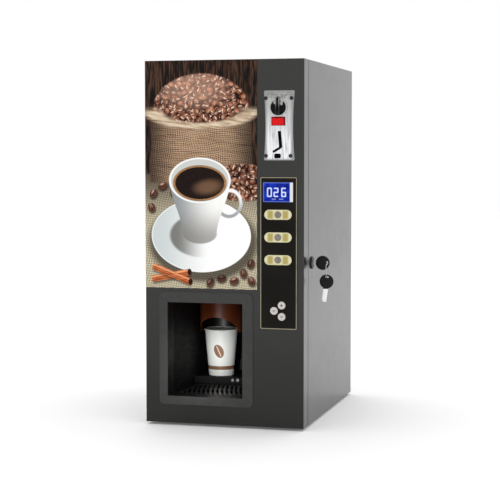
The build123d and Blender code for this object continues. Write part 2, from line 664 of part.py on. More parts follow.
def make_power_box():
    """Folded cover of the power supply, open underneath where it sits on the base pan."""
    x, y, top = (-30, 28), (112, 208), 108
    wall = 1.5
    box = block(x, y, (BOTTOM + SHEET, top))
    box = fillet(box.edges().filter_by(Axis.Z), 2.0)
    box -= block((x[0] + wall, x[1] - wall), (y[0] + wall, y[1] - wall), (BOTTOM, top - wall))
    for row in range(6):
        low = 30 + 11 * row
        box -= block((x[0] + 10, x[1] - 10), (y[0] - 1, y[0] + 2), (low, low + 4))
    return box


# ---------------------------------------------------------------- door
def make_door_panel():
    """Folded door skin with its openings and the keeper for the lock cam."""
    door = block((LEFT, RIGHT), (FRONT, DOOR_BACK), (BOTTOM, TOP))
    door = fillet(door.edges().filter_by(Axis.Z).group_by(Axis.Y)[0], 1.5)
    door -= block((INNER_LEFT, INNER_RIGHT), (SKIN_BACK, DOOR_BACK + 1), (BOTTOM + SHEET, TOP - SHEET))
    cut = (FRONT - 1, SKIN_BACK + 1)
    panel_hole_x = (PANEL_X[0] + 5, PANEL_X[1] - 5)
    panel_hole_z = (PANEL_Z[0] + 8, PANEL_Z[1] - 8)
    throat_x = (BAY_X[0] - THROAT_WALL, BAY_X[1] + THROAT_WALL)
    throat_z = (BAY_Z[0] - THROAT_WALL, BAY_Z[1] + THROAT_WALL)
    door -= upright(front_rectangle(throat_x, throat_z), cut)
    door -= upright(front_rectangle(panel_hole_x, panel_hole_z), cut)
    door -= upright(front_rectangle(COIN_HOLE_X, COIN_HOLE_Z), cut)
    for x, z in COIN_SCREWS:
        door -= rod_y(x, z, SCREW_SHANK_RADIUS, cut)
    return door + make_keeper()


def make_keeper():
    """Hooked bracket welded to the right flange of the door, which the lock cam catches."""
    z = (LOCK_Z + 12, LOCK_Z + 30)
    strip = 1.5
    foot_y = (DOOR_BACK - 2 * strip, DOOR_BACK - strip)
    keeper = block((KEEPER_X, INNER_RIGHT + 0.1), foot_y, z)
    keeper += block((KEEPER_X, KEEPER_X + strip), (foot_y[0], KEEPER_Y), z)
    return keeper + block((KEEPER_X, KEEPER_X + 10.0), (KEEPER_Y - 1.4, KEEPER_Y), z)


def make_picture_panel():
    return upright(front_rectangle(PICTURE_X, PICTURE_Z), (FRONT - PICTURE_THICKNESS, FRONT))


def make_bay_frame():
    """Face ring and throat of the delivery opening, one moulding."""
    outline = front_rectangle(BAY_FRAME_X, BAY_FRAME_Z, BAY_FRAME_RADIUS)
    face = upright(outline, (FRONT - BAY_FRAME_PROUD, FRONT))
    face = chamfer(face.edges().group_by(Axis.Y)[0], 1.2)
    throat_x = (BAY_X[0] - THROAT_WALL, BAY_X[1] + THROAT_WALL)
    throat_z = (BAY_Z[0] - THROAT_WALL, BAY_Z[1] + THROAT_WALL)
    throat = block(throat_x, (FRONT - 0.5, DOOR_BACK), throat_z)
    return face + throat - block(BAY_X, (FRONT - 5, DOOR_BACK + 5), BAY_Z)


def make_display_panel():
    """Black overlay with a narrow raised border."""
    y = (FRONT - PANEL_THICKNESS, FRONT)
    panel = upright(front_rectangle(PANEL_X, PANEL_Z, 3.0), y)
    cut = (y[0] - 1, y[1] + 1)
    panel -= upright(front_rectangle(LCD_X, LCD_Z), cut)
    for z in PLATE_CENTRES:
        panel -= rod_y(PLATE_MIDDLE, z, SELECT_RADIUS + BUTTON_GAP, cut)
    for x, z in MENU_CENTRES:
        panel -= rod_y(x, z, MENU_RADIUS + BUTTON_GAP, cut)
    return panel


def make_display_trim():
    """Thin metal border strip on the edge of the overlay."""
    y = (FRONT - PANEL_THICKNESS - 0.5, FRONT - PANEL_THICKNESS)
    rings = []
    for inset, corner in ((0.4, 2.6), (2.0, 1.6)):
        x = (PANEL_X[0] + inset, PANEL_X[1] - inset)
        z = (PANEL_Z[0] + inset, PANEL_Z[1] - inset)
        rings.append(front_rectangle(x, z, corner))
    return upright(rings[0] - rings[1], y)


def make_lcd():
    """Display module filling the window of the overlay, its body reaching the board."""
    gap = 0.15
    shoulder = FRONT + 2.0
    glass_x = (LCD_X[0] + gap, LCD_X[1] - gap)
    glass_z = (LCD_Z[0] + gap, LCD_Z[1] - gap)
    glass = block(glass_x, (FRONT - 1.2, shoulder), glass_z)
    return glass + block((LCD_X[0] + 1, LCD_X[1] - 1), (shoulder, BOARD_Y), (LCD_Z[0] + 1, LCD_Z[1] - 1))


def make_pill_plates():
    """Three label plates, each with a round hole for its button."""
    plates = []
    for z in PLATE_CENTRES:
        outline = Pos(PLATE_MIDDLE, z) * SlotOverall(PLATE_X[1] - PLATE_X[0], PLATE_HEIGHT)
        plate = upright(outline, (FRONT - PANEL_THICKNESS - PLATE_PROUD, FRONT - PANEL_THICKNESS))
        plate = chamfer(plate.edges().group_by(Axis.Y)[0], 0.8)
        hole = rod_y(PLATE_MIDDLE, z, SELECT_RADIUS + BUTTON_GAP, (FRONT - 6, FRONT + 6))
        plates.append(plate - hole)
    return group(plates)


def make_button(x, z, radius, face_y):
    """Push button: domed cap, retaining collar behind the overlay, and stem to its switch."""
    collar_y = (FRONT + 0.8, FRONT + 1.8)
    cap = rod_y(x, z, radius, (face_y, collar_y[0]))
    cap = fillet(cap.edges().sort_by(Axis.Y)[0], 1.0)
    stem_end = BOARD_Y - SWITCH_HEIGHT - SWITCH_GAP
    stem = rod_y(x, z, BUTTON_STEM_RADIUS, (collar_y[1], stem_end))
    return cap + rod_y(x, z, radius + 1.6, collar_y) + stem


def make_control_board():
    """Circuit board behind the overlay with its key switches and processor."""
    back = BOARD_Y + 1.6
    board = block((76, 134), (BOARD_Y, back), (196, 457))
    for x, z in [(PLATE_MIDDLE, centre) for centre in PLATE_CENTRES] + list(MENU_CENTRES):
        board += block((x - 3, x + 3), (BOARD_Y - SWITCH_HEIGHT, BOARD_Y), (z - 3, z + 3))
    processor = block((84, 110), (back, back + 2.4), (330, 356))
    connector = block((80, 130), (back, back + 10), (200, 212))
    board += processor + connector
    for x in (90, 104, 118):
        board += rod_y(x, 240, 5.0, (back, back + 12))
        board += block((x - 6, x + 6), (back, back + 14), (262, 280))
    for x in (80, 130):
        for z in (296, 412):
            board += rod_y(x, z, 2.5, (SKIN_BACK + 0.1, BOARD_Y))
    return board


# ---------------------------------------------------------------- coin acceptor
def make_coin_plate():
    """Cast face plate, waisted in the middle, with coin slot, button well and coin exit."""
    (left, right), (low, high) = COIN_X, COIN_Z
    middle_z = (low + high) / 2
    left_arc = ThreePointArc((left, low), (left + COIN_WAIST, middle_z), (left, high))
    right_arc = ThreePointArc((right, high), (right - COIN_WAIST, middle_z), (right, low))
    top = Line((left, high), (right, high))
    bottom = Line((right, low), (left, low))
    outline = make_face([left_arc, top, right_arc, bottom])
    outline = fillet(outline.vertices(), 3.0)
    plate = upright(outline, (FRONT - COIN_THICKNESS, FRONT))
    plate = chamfer(plate.edges().group_by(Axis.Y)[0], 1.0)
    face = FRONT - COIN_THICKNESS
    cx, cz = COIN_CENTRE
    boss = rod_y(cx, cz, 17.0, (face - 3.0, FRONT))
    boss = fillet(boss.edges().sort_by(Axis.Y)[0], 1.5)
    plate += boss
    plate -= rod_y(cx, cz, 14.5, (face - 4.0, face - 0.2))
    fin = block((cx - 5.0, cx + 3.0), (face - 6.0, FRONT), (cz - 14.0, cz + 18.0))
    fin = fillet(fin.edges().group_by(Axis.Y)[0], 1.6)
    plate += fin
    plate -= block(SLOT_X, (face - 8, FRONT + 2), SLOT_Z)
    plate -= block(RETURN_X, (face - 2, FRONT + 1), RETURN_Z)
    exit_slot = Pos(107.7, 534.0) * Rot(0, 0, 4.5) * RectangleRounded(6.2, 31.0, 1.5)
    foot = Pos(101.6, 515.5) * Rot(0, 0, 30.0) * RectangleRounded(17.0, 4.4, 1.5)
    pocket = Pos(103.0, 504.2) * RectangleRounded(12.5, 8.6, 2.6)
    plate -= upright(exit_slot + foot + pocket, (face - 2, FRONT + 1))
    for x, z in COIN_SCREWS:
        plate -= rod_y(x, z, SCREW_SHANK_RADIUS, (face - 2, FRONT + 1))
    return plate


def make_coin_screws():
    screws = []
    for x, z in COIN_SCREWS:
        screws.append(make_pan_screw(x, z, FRONT - COIN_THICKNESS, 1))
    return group(screws)


def make_return_button():
    """Red coin-return push button in its well."""
    x = (RETURN_X[0] + BUTTON_GAP, RETURN_X[1] - BUTTON_GAP)
    z = (RETURN_Z[0] + BUTTON_GAP, RETURN_Z[1] - BUTTON_GAP)
    cap = block(x, (FRONT - COIN_THICKNESS - 0.8, FRONT + 0.9), z)
    cap = fillet(cap.edges().group_by(Axis.Y)[0], 0.7)
    plunger = block((100, 109), (FRONT + 0.9, FRONT + 6), (563, 571))
    return cap + plunger


def make_coin_mechanism():
    """Coin validator body, hollow behind the exit slot and the return button."""
    body = block(MECH_X, (SKIN_BACK, MECH_BACK), MECH_Z)
    body = fillet(body.edges().group_by(Axis.Y)[-1], 3.0)
    body -= block((92, 116), (FRONT, FRONT + 14), (499, 552))
    well_x = (RETURN_X[0] - BUTTON_GAP, RETURN_X[1] + BUTTON_GAP)
    body -= block(well_x, (FRONT, FRONT + 12), (RETURN_Z[0] - BUTTON_GAP, RETURN_Z[1] + BUTTON_GAP))
    body -= block(SLOT_X, (FRONT, FRONT + 40), SLOT_Z)
    body -= block((101.5, 107.5), (-196, -162), (MECH_Z[0] - 1, MECH_Z[0] + 30))
    for z in (530, 590):
        body += block((MECH_X[0] + 8, MECH_X[1] - 8), (MECH_BACK, MECH_BACK + 0.8), (z, z + 14))
    for x, z in COIN_SCREWS:
        body -= rod_y(x, z, SCREW_SHANK_RADIUS, (SKIN_BACK - 1, FRONT + 8))
    return body


COIN_BOX_X = (76.0, 132.0)
COIN_BOX_Y = (-196.0, -154.0)
COIN_BOX_Z = (362.0, 476.0)


def make_coin_box():
    """Open-topped coin box with a grip on its back."""
    wall = 2.0
    box = block(COIN_BOX_X, COIN_BOX_Y, COIN_BOX_Z)
    box = fillet(box.edges().filter_by(Axis.Z), 2.5)
    inner_x = (COIN_BOX_X[0] + wall, COIN_BOX_X[1] - wall)
    inner_y = (COIN_BOX_Y[0] + wall, COIN_BOX_Y[1] - wall)
    inner = block(inner_x, inner_y, (COIN_BOX_Z[0] + wall, COIN_BOX_Z[1] + 1))
    grip = block((96, 112), (COIN_BOX_Y[1], COIN_BOX_Y[1] + 8), (430, 434))
    return box - inner + grip


# ---------------------------------------------------------------- hinges
def hinge_leaf(centre_z, side):
    """One hinge leaf: side -1 is on the door with the middle knuckle, +1 on the cabinet."""
    third = HINGE_HEIGHT / 3
    low, high = centre_z - HINGE_HEIGHT / 2, centre_z + HINGE_HEIGHT / 2
    leaf_x = (LEFT - HINGE_LEAF, LEFT)
    if side < 0:
        plate = block(leaf_x, (HINGE_Y - 26, HINGE_Y - 3.4), (low, high))
        spans = ((low + third + 0.3, high - third - 0.3),)
    else:
        plate = block(leaf_x, (HINGE_Y + 3.4, HINGE_Y + 26), (low, high))
        spans = ((low, low + third), (high - third, high))
    for span in spans:
        tab = block((LEFT - HINGE_LEAF, LEFT - 0.5), sorted((HINGE_Y, HINGE_Y + side * 4)), span)
        plate += tab
        plate += rod_z(HINGE_X, HINGE_Y, KNUCKLE_RADIUS, span)
    bore = HINGE_PIN_RADIUS + HINGE_RUNNING_GAP if side < 0 else HINGE_PIN_RADIUS
    plate -= rod_z(HINGE_X, HINGE_Y, bore, (low - 1, high + 1))
    for z in (centre_z - 20, centre_z + 20):
        plate -= rod_x(HINGE_Y + side * 16, z, 2.0, (LEFT - 3, LEFT + 0.5))
    return plate


def make_hinge_pins():
    pins = []
    for centre in HINGE_CENTRES:
        half = HINGE_HEIGHT / 2
        pin = rod_z(HINGE_X, HINGE_Y, HINGE_PIN_RADIUS, (centre - half, centre + half))
        pin += rod_z(HINGE_X, HINGE_Y, 2.4, (centre + half, centre + half + 1.2))
        pins.append(pin)
    return pins


# ---------------------------------------------------------------- lock and keys
def make_lock_housing():
    """Cam-lock body clamped through the right side, with its black face ring and nut."""
    body = rod_x(LOCK_Y, LOCK_Z, LOCK_BODY_RADIUS, (LOCK_INNER_X, RIGHT))
    ring = rod_x(LOCK_Y, LOCK_Z, 11.6, (RIGHT, RIGHT + 3.0))
    ring = fillet(ring.edges().sort_by(Axis.X)[-1], 1.2)
    nut = rod_x(LOCK_Y, LOCK_Z, 13.0, (INNER_RIGHT - 4, INNER_RIGHT))
    return body + ring + nut - rod_x(LOCK_Y, LOCK_Z, LOCK_PLUG_RADIUS + 0.05, (120, 160))


def make_lock_plug():
    """Turning plug with the flat cam on its inner end."""
    plug = rod_x(LOCK_Y, LOCK_Z, LOCK_PLUG_RADIUS, (LOCK_INNER_X - 3.4, RIGHT + 2.4))
    cam_x = (LOCK_INNER_X - 3.0, LOCK_INNER_X - 1.0)
    cam = block(cam_x, (LOCK_Y - 25, LOCK_Y + 6), (LOCK_Z - 5, LOCK_Z + 5))
    plug += fillet(cam.edges().filter_by(Axis.X), 3.0)
    return plug - block((138, 160), (LOCK_Y - 1.1, LOCK_Y + 1.1), (LOCK_Z - 4.2, LOCK_Z + 4.2))


def bow_with_slot():
    """Round key bow lying in front view about its own centre, slot near the +X edge."""
    bow = Rot(90, 0, 0) * Cylinder(BOW_RADIUS, BOW_THICKNESS)
    bow = fillet(bow.edges().filter_by(GeomType.CIRCLE), 1.2)
    slot = extrude(RectangleRounded(*BOW_SLOT, 1.6), amount=8, both=True)
    return bow - Pos(BOW_SLOT_OFFSET, 0, 0) * Rot(90, 0, 0) * slot


def make_key():
    """Key in the lock: round bow, shoulder and blade in the plug's keyway."""
    blade = block((140, BOW_X), (LOCK_Y - 1.0, LOCK_Y + 1.0), (LOCK_Z - 4.0, LOCK_Z + 4.0))
    for index in range(4):
        cut_x = 142 + 3 * index
        blade -= block((cut_x, cut_x + 1.2), (LOCK_Y - 2, LOCK_Y + 2), (LOCK_Z + 3, LOCK_Z + 5))
    bow = Pos(BOW_X, LOCK_Y, LOCK_Z) * bow_with_slot()
    return bow + (blade - bow)


RING_X = BOW_X + BOW_SLOT_OFFSET


def make_key_ring():
    radius = RING_DROP / 2
    return Pos(RING_X, LOCK_Y, LOCK_Z - radius) * Rot(0, 90, 0) * Torus(radius, RING_WIRE)


def make_spare_key():
    """Second key hanging from the ring, blade down."""
    bow = bow_with_slot()
    blade = block((-BOW_RADIUS - 24.5, -BOW_RADIUS + 1.0), (-1.0, 1.0), (-4.3, 4.3))
    tip = block((-BOW_RADIUS - 26, -BOW_RADIUS - 21.5), (-2, 2), (2.2, 6))
    blade -= tip
    for index in range(4):
        cut_x = -BOW_RADIUS - 6 - 4 * index
        blade -= block((cut_x - 1.4, cut_x), (-2, 2), (3.1, 5))
    key = bow + (blade - bow)
    hang = Pos(RING_X, LOCK_Y, LOCK_Z - RING_DROP) * Rot(0, KEY_TILT, 0)
    return hang * Rot(0, -90, 0) * Pos(-BOW_SLOT_OFFSET, 0, 0) * key


# ---------------------------------------------------------------- write the nodes
save("feet", make_feet())
save("base_pan", make_base_pan())
save("left_side_panel", make_side_panel(-1))
save("right_side_panel", make_side_panel(1))
save("top_panel", make_top_panel())
save("rear_panel", make_rear_panel())
save("cabinet_screws", make_cabinet_screws())
save("mains_inlet", make_mains_inlet())
save("bay_liner", make_bay_liner())
save("cup_platform", make_platform())
save("drip_tray", make_drip_tray())
save("drip_grille", make_grille())
save("drop_chute", make_chute())
save("nozzle_block", make_nozzle_block())
save("cup", make_cup())
save("cup_dispenser_base", make_dispenser_base())
save("cup_drop_ring", make_drop_ring())
save("cup_tube", make_cup_tube())
save("canisters", group([make_canister(x) for x in CANISTER_CENTRES]))
save("canister_cover", make_canister_cover())
save("machine_frame", make_machine_frame())
save("drive_motors", make_drive_motors())
save("mixing_bowls", group([make_mixing_bowl(x) for x in CANISTER_CENTRES]))
for number, centre_x in enumerate(CANISTER_CENTRES, start=1):
    save(f"auger_{number}", make_auger(centre_x))
    save(f"whipper_{number}", make_whipper(centre_x))
save("boiler", make_boiler())
save("boiler_valves", make_valves())
save("hoses", make_hoses())
save("water_pump", make_pump())
save("power_box", make_power_box())
save("door_panel", make_door_panel())
save("picture_panel", make_picture_panel())
save("bay_frame", make_bay_frame())
save("display_panel", make_display_panel())
save("display_trim", make_display_trim())
save("lcd_module", make_lcd())
save("label_plates", make_pill_plates())
save("control_board", make_control_board())
for number, centre_z in enumerate(PLATE_CENTRES, start=1):
    save(f"select_button_{number}", make_button(PLATE_MIDDLE, centre_z, SELECT_RADIUS, FRONT - 4.2))
for number, (button_x, button_z) in enumerate(MENU_CENTRES, start=1):
    save(f"menu_button_{number}", make_button(button_x, button_z, MENU_RADIUS, FRONT - 3.6))
save("coin_plate", make_coin_plate())
save("coin_plate_screws", make_coin_screws())
save("return_button", make_return_button())
save("coin_mechanism", make_coin_mechanism())
save("coin_box", make_coin_box())
save("door_hinge_leaves", group([hinge_leaf(z, -1) for z in HINGE_CENTRES]))
save("cabinet_hinge_leaves", group([hinge_leaf(z, 1) for z in HINGE_CENTRES] + make_hinge_pins()))
save("lock_housing", make_lock_housing())
save("lock_plug", make_lock_plug())
save("key", make_key())
save("key_ring", make_key_ring())
save("spare_key", make_spare_key())
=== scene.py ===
import bpy
import json
import math
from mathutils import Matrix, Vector


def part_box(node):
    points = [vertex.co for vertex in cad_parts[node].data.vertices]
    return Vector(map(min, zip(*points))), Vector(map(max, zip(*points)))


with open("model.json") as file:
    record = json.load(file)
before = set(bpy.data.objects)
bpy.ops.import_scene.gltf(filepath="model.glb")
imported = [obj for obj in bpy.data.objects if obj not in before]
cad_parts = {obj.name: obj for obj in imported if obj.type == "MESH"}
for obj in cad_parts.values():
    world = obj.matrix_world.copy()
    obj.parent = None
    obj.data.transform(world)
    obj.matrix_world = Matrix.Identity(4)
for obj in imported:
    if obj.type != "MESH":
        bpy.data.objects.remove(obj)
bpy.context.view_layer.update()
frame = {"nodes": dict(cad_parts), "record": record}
nodes = frame["nodes"]
MM = 0.001


# ---------------------------------------------------------------- node painting helpers
def rgb(red, green, blue):
    """Linear colour from display values between 0 and 255."""
    linear = []
    for value in (red, green, blue):
        share = value / 255
        linear.append(share / 12.92 if share <= 0.04045 else ((share + 0.055) / 1.055) ** 2.4)
    return (*linear, 1.0)


class Paint:
    """One material, painted with nodes. Values are numbers, vectors, colours or sockets."""

    def __init__(self, name):
        self.material = bpy.data.materials.new(name)
        self.material.use_nodes = True
        self.tree = self.material.node_tree
        self.shader = self.tree.nodes["Principled BSDF"]
        self.place = self.new("ShaderNodeTexCoord").outputs["Object"]

    def new(self, kind, **settings):
        node = self.tree.nodes.new(kind)
        for key, value in settings.items():
            setattr(node, key, value)
        return node

    def give(self, socket, value):
        """Connect a socket, or set a number or colour on it."""
        if isinstance(value, bpy.types.NodeSocket):
            self.tree.links.new(value, socket)
        else:
            socket.default_value = value

    def math(self, operation, *values):
        node = self.new("ShaderNodeMath", operation=operation)
        for socket, value in zip(node.inputs, values):
            self.give(socket, value)
        return node.outputs[0]

    def vector(self, operation, *values):
        node = self.new("ShaderNodeVectorMath", operation=operation)
        for socket, value in zip(node.inputs, values):
            self.give(socket, value)
        return node.outputs["Value" if operation in ("LENGTH", "DOT_PRODUCT") else "Vector"]

    def add(self, *values):
        """Sum of the values."""
        total = values[0]
        for value in values[1:]:
            total = self.math("ADD", total, value)
        return total

    def times(self, *values):
        """Product of the values."""
        total = values[0]
        for value in values[1:]:
            total = self.math("MULTIPLY", total, value)
        return total

    def less(self, value, taken):
        return self.math("SUBTRACT", value, taken)

    def either(self, *values):
        """Largest of the values."""
        largest = values[0]
        for value in values[1:]:
            largest = self.math("MAXIMUM", largest, value)
        return largest

    def fade(self, value, start, end, low=0.0, high=1.0):
        """Smooth step from low at start to high at end; start may be above end."""
        node = self.new("ShaderNodeMapRange", interpolation_type="SMOOTHSTEP")
        for socket, item in zip(node.inputs, (value, start, end, low, high)):
            self.give(socket, item)
        return node.outputs["Result"]

    def mix(self, share, first, second):
        """Colour between first, at a share of 0, and second, at 1."""
        node = self.new("ShaderNodeMix", data_type="RGBA")
        self.give(node.inputs["Factor"], share)
        self.give(node.inputs[6], first)
        self.give(node.inputs[7], second)
        return node.outputs[2]

    def axes(self, vector):
        node = self.new("ShaderNodeSeparateXYZ")
        self.give(node.inputs[0], vector)
        return node.outputs[0], node.outputs[1], node.outputs[2]

    def join(self, x, y, z=0.0):
        node = self.new("ShaderNodeCombineXYZ")
        for socket, value in zip(node.inputs, (x, y, z)):
            self.give(socket, value)
        return node.outputs[0]

    def local(self, vector, centre=(0, 0), half=(1, 1), degrees=0.0):
        """Vector seen from a turned frame at centre, in units of the half sizes."""
        node = self.new("ShaderNodeMapping", vector_type="TEXTURE")
        self.give(node.inputs["Vector"], vector)
        node.inputs["Location"].default_value = (centre[0], centre[1], 0)
        node.inputs["Rotation"].default_value = (0, 0, math.radians(degrees))
        node.inputs["Scale"].default_value = (half[0], half[1], 1)
        return node.outputs[0]

    def noise(self, vector, scale, detail=3.0, rough=0.5, bend=0.0):
        node = self.new("ShaderNodeTexNoise")
        self.give(node.inputs["Vector"], vector)
        node.inputs["Scale"].default_value = scale
        node.inputs["Detail"].default_value = detail
        node.inputs["Roughness"].default_value = rough
        node.inputs["Distortion"].default_value = bend
        return node.outputs["Fac"]

    def cells(self, vector, scale, randomness=1.0):
        """Cell pattern: the node, with the colour, place and distance of the nearest cell."""
        node = self.new("ShaderNodeTexVoronoi")
        self.give(node.inputs["Vector"], vector)
        node.inputs["Scale"].default_value = scale
        node.inputs["Randomness"].default_value = randomness
        return node

    def along(self, flat, centre, half, degrees):
        """Place along a turned axis through centre, counted in half sizes."""
        run, rise = math.cos(math.radians(degrees)) / half, math.sin(math.radians(degrees)) / half
        return self.vector("DOT_PRODUCT", flat, (run, rise, -run * centre[0] - rise * centre[1]))

    def both_ways(self, flat, centre, half, degrees):
        """Places along and across a turned frame at centre."""
        return self.along(flat, centre, half[0], degrees), self.along(flat, centre, half[1], degrees + 90)

    def distance(self, flat, centre, half, degrees):
        """Distance from centre, with 1 on the ellipse."""
        return self.vector("LENGTH", self.join(*self.both_ways(flat, centre, half, degrees)))

    def disc(self, flat, centre, half, degrees=0.0, soft=1.2):
        """1 inside an ellipse, with an edge soft units wide."""
        edge = soft / min(half) / 2
        return self.fade(self.distance(flat, centre, half, degrees), 1 + edge, 1 - edge)

    def ring(self, flat, centre, half, width, degrees=0.0):
        """1 on the line of an ellipse, width units wide."""
        away = self.math("ABSOLUTE", self.less(self.distance(flat, centre, half, degrees), 1.0))
        edge = width / min(half) / 2
        return self.fade(away, edge, edge * 0.3)

    def slab(self, flat, centre, half, degrees=0.0, soft=1.0):
        """1 inside a turned rectangle."""
        inside = 1.0
        for place, size in zip(self.both_ways(flat, centre, half, degrees), half):
            edge = soft / size / 2
            side = self.fade(self.math("ABSOLUTE", place), 1 + edge, 1 - edge)
            inside = self.times(inside, side)
        return inside

    def outline(self, flat, corners, soft=1.5):
        """1 inside a convex outline whose corners run anticlockwise."""
        inside = 1.0
        for start, end in zip(corners, corners[1:] + corners[:1]):
            run, rise = end[0] - start[0], end[1] - start[1]
            size = math.hypot(run, rise)
            row = (-rise / size, run / size, (rise * start[0] - run * start[1]) / size)
            side = self.vector("DOT_PRODUCT", flat, row)
            inside = self.times(inside, self.fade(side, -soft / 2, soft / 2))
        return inside

    def bar(self, flat, start, end, width, soft=1.0):
        """1 inside a straight bar between two points."""
        run, rise = end[0] - start[0], end[1] - start[1]
        middle = ((start[0] + end[0]) / 2, (start[1] + end[1]) / 2)
        half = (math.hypot(run, rise) / 2, width / 2)
        return self.slab(flat, middle, half, math.degrees(math.atan2(rise, run)), soft)

    def finish(self, colour, roughness, metallic=0.0, **inputs):
        """Set the surface; names in inputs are shader sockets with _ for a space."""
        self.give(self.shader.inputs["Base Color"], colour)
        self.give(self.shader.inputs["Roughness"], roughness)
        self.give(self.shader.inputs["Metallic"], metallic)
        for key, value in inputs.items():
            self.give(self.shader.inputs[key.replace("_", " ")], value)
        return self.material

    def bump(self, height, depth, strength=1.0):
        """Fine relief; depth in metres."""
        node = self.new("ShaderNodeBump")
        self.give(node.inputs["Height"], height)
        node.inputs["Distance"].default_value = depth
        node.inputs["Strength"].default_value = strength
        self.give(self.shader.inputs["Normal"], node.outputs[0])

    def front_plane(self, start_x, start_z):
        """Millimetres right and up from a start point, then 1, for faces seen from the front."""
        node = self.new("ShaderNodeMapping", vector_type="POINT")
        self.give(node.inputs["Vector"], self.place)
        node.inputs["Location"].default_value = (-start_x / MM, -start_z / MM, 1)
        node.inputs["Rotation"].default_value = (-math.pi / 2, 0, 0)
        node.inputs["Scale"].default_value = (1 / MM, 0, 1 / MM)
        return node.outputs[0]


# ---------------------------------------------------------------- plain finishes
def painted_metal(name, colour, shade):
    """Dark gloss paint: fine orange peel, faint wiping marks, and less gloss near the floor as painted
    shade.
    """
    paint = Paint(name)
    slow = paint.noise(paint.place, 5.0, 2.0)
    wiped = paint.noise(paint.vector("MULTIPLY", paint.place, (9, 9, 14)), 2.0, 5.0, 0.6, 0.4)
    tone = paint.mix(paint.fade(slow, 0.35, 0.65), colour, shade)
    _, _, height = paint.axes(paint.place)
    # painted shade: the gloss falls towards the floor, so the lower panels look darker
    low_gloss_shade = paint.fade(height, 0.3, 0.05, 0.5, 0.3)
    surface = paint.finish(tone, paint.fade(wiped, 0.3, 0.75, 0.13, 0.2), Specular_IOR_Level=low_gloss_shade)
    paint.bump(paint.noise(paint.place, 700.0, 2.0), 0.000004, 0.4)
    return surface


def moulded(name, colour, rough=0.45, grain=2200.0, depth=0.00003, **inputs):
    """Moulded plastic: fine spark texture, slight mottling and handling marks."""
    paint = Paint(name)
    mottle = paint.noise(paint.place, 60.0, 3.0)
    lighter = tuple(min(1.0, value * 1.25 + 0.003) for value in colour[:3]) + (1.0,)
    tone = paint.mix(paint.fade(mottle, 0.3, 0.75), colour, lighter)
    marks = paint.noise(paint.vector("MULTIPLY", paint.place, (1, 1, 3)), 35.0, 6.0, 0.65)
    surface = paint.finish(tone, paint.fade(marks, 0.3, 0.75, rough - 0.07, rough + 0.1), **inputs)
    paint.bump(paint.noise(paint.place, grain, 2.0), depth, 0.4)
    return surface


def metal(name, colour, rough, stretch=(1, 1, 1), scale=1500.0, spots=0.0):
    """Bare metal with drawn or brushed lines, and tarnish where spots is above 0."""
    paint = Paint(name)
    lines = paint.noise(paint.vector("MULTIPLY", paint.place, stretch), scale, 3.0)
    cloud = paint.noise(paint.place, 40.0, 4.0)
    dark = tuple(value * 0.72 for value in colour[:3]) + (1.0,)
    tone = paint.mix(paint.fade(cloud, 0.5 - spots, 0.8), colour, dark)
    surface = paint.finish(tone, paint.fade(lines, 0.2, 0.8, rough - 0.06, rough + 0.1), 1.0)
    paint.bump(lines, 0.00001, 0.3)
    return surface


def spangled(name):
    """Zinc-coated inner sheet with its crystal pattern."""
    paint = Paint(name)
    crystal = paint.cells(paint.place, 90.0)
    tint = paint.axes(crystal.outputs["Color"])[0]
    tone = paint.mix(paint.fade(tint, 0.0, 1.0), rgb(168, 170, 172), rgb(205, 207, 208))
    surface = paint.finish(tone, paint.fade(tint, 0.0, 1.0, 0.3, 0.48), 0.9)
    paint.bump(paint.noise(paint.place, 700.0, 2.0), 0.00001, 0.3)
    return surface


# ---------------------------------------------------------------- printed and shaped finishes
def circuit_board():
    """Green solder mask with copper runs and pads."""
    paint = Paint("circuit_board")
    low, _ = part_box("control_board")
    flat = paint.front_plane(low.x, low.z)
    x, y, _ = paint.axes(flat)
    grid = paint.cells(flat, 0.12, 0.0)
    pads = paint.fade(grid.outputs["Distance"], 0.16, 0.12)
    turn = paint.noise(flat, 0.06, 0.0)
    runs = paint.either(paint.fade(paint.math("SINE", paint.times(x, 2.1)), 0.7, 0.9),
                        paint.fade(paint.math("SINE", paint.times(y, 1.7)), 0.8, 0.95))
    runs = paint.times(runs, paint.fade(turn, 0.45, 0.55))
    tone = paint.mix(runs, rgb(12, 70, 34), rgb(36, 112, 56))
    tone = paint.mix(pads, tone, rgb(196, 178, 120))
    surface = paint.finish(tone, 0.35, paint.times(pads, 0.9))
    paint.bump(paint.either(runs, pads), 0.00004, 0.5)
    return surface


def bay_surround():
    """Grey moulded surround of the delivery bay, black where it turns inward."""
    paint = Paint("bay_surround")
    low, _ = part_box("bay_frame")
    _, depth, _ = paint.axes(paint.place)
    inward = paint.fade(depth, low.y + 3.0 * MM, low.y + 5.0 * MM)
    mottle = paint.noise(paint.place, 60.0, 3.0)
    front = paint.mix(paint.fade(mottle, 0.3, 0.75), rgb(50, 50, 49), rgb(57, 57, 56))
    tone = paint.mix(inward, front, rgb(12, 12, 12))
    surface = paint.finish(tone, paint.fade(mottle, 0.3, 0.75, 0.42, 0.55), Specular_IOR_Level=0.3)
    paint.bump(paint.noise(paint.place, 2200.0, 2.0), 0.00003, 0.4)
    return surface


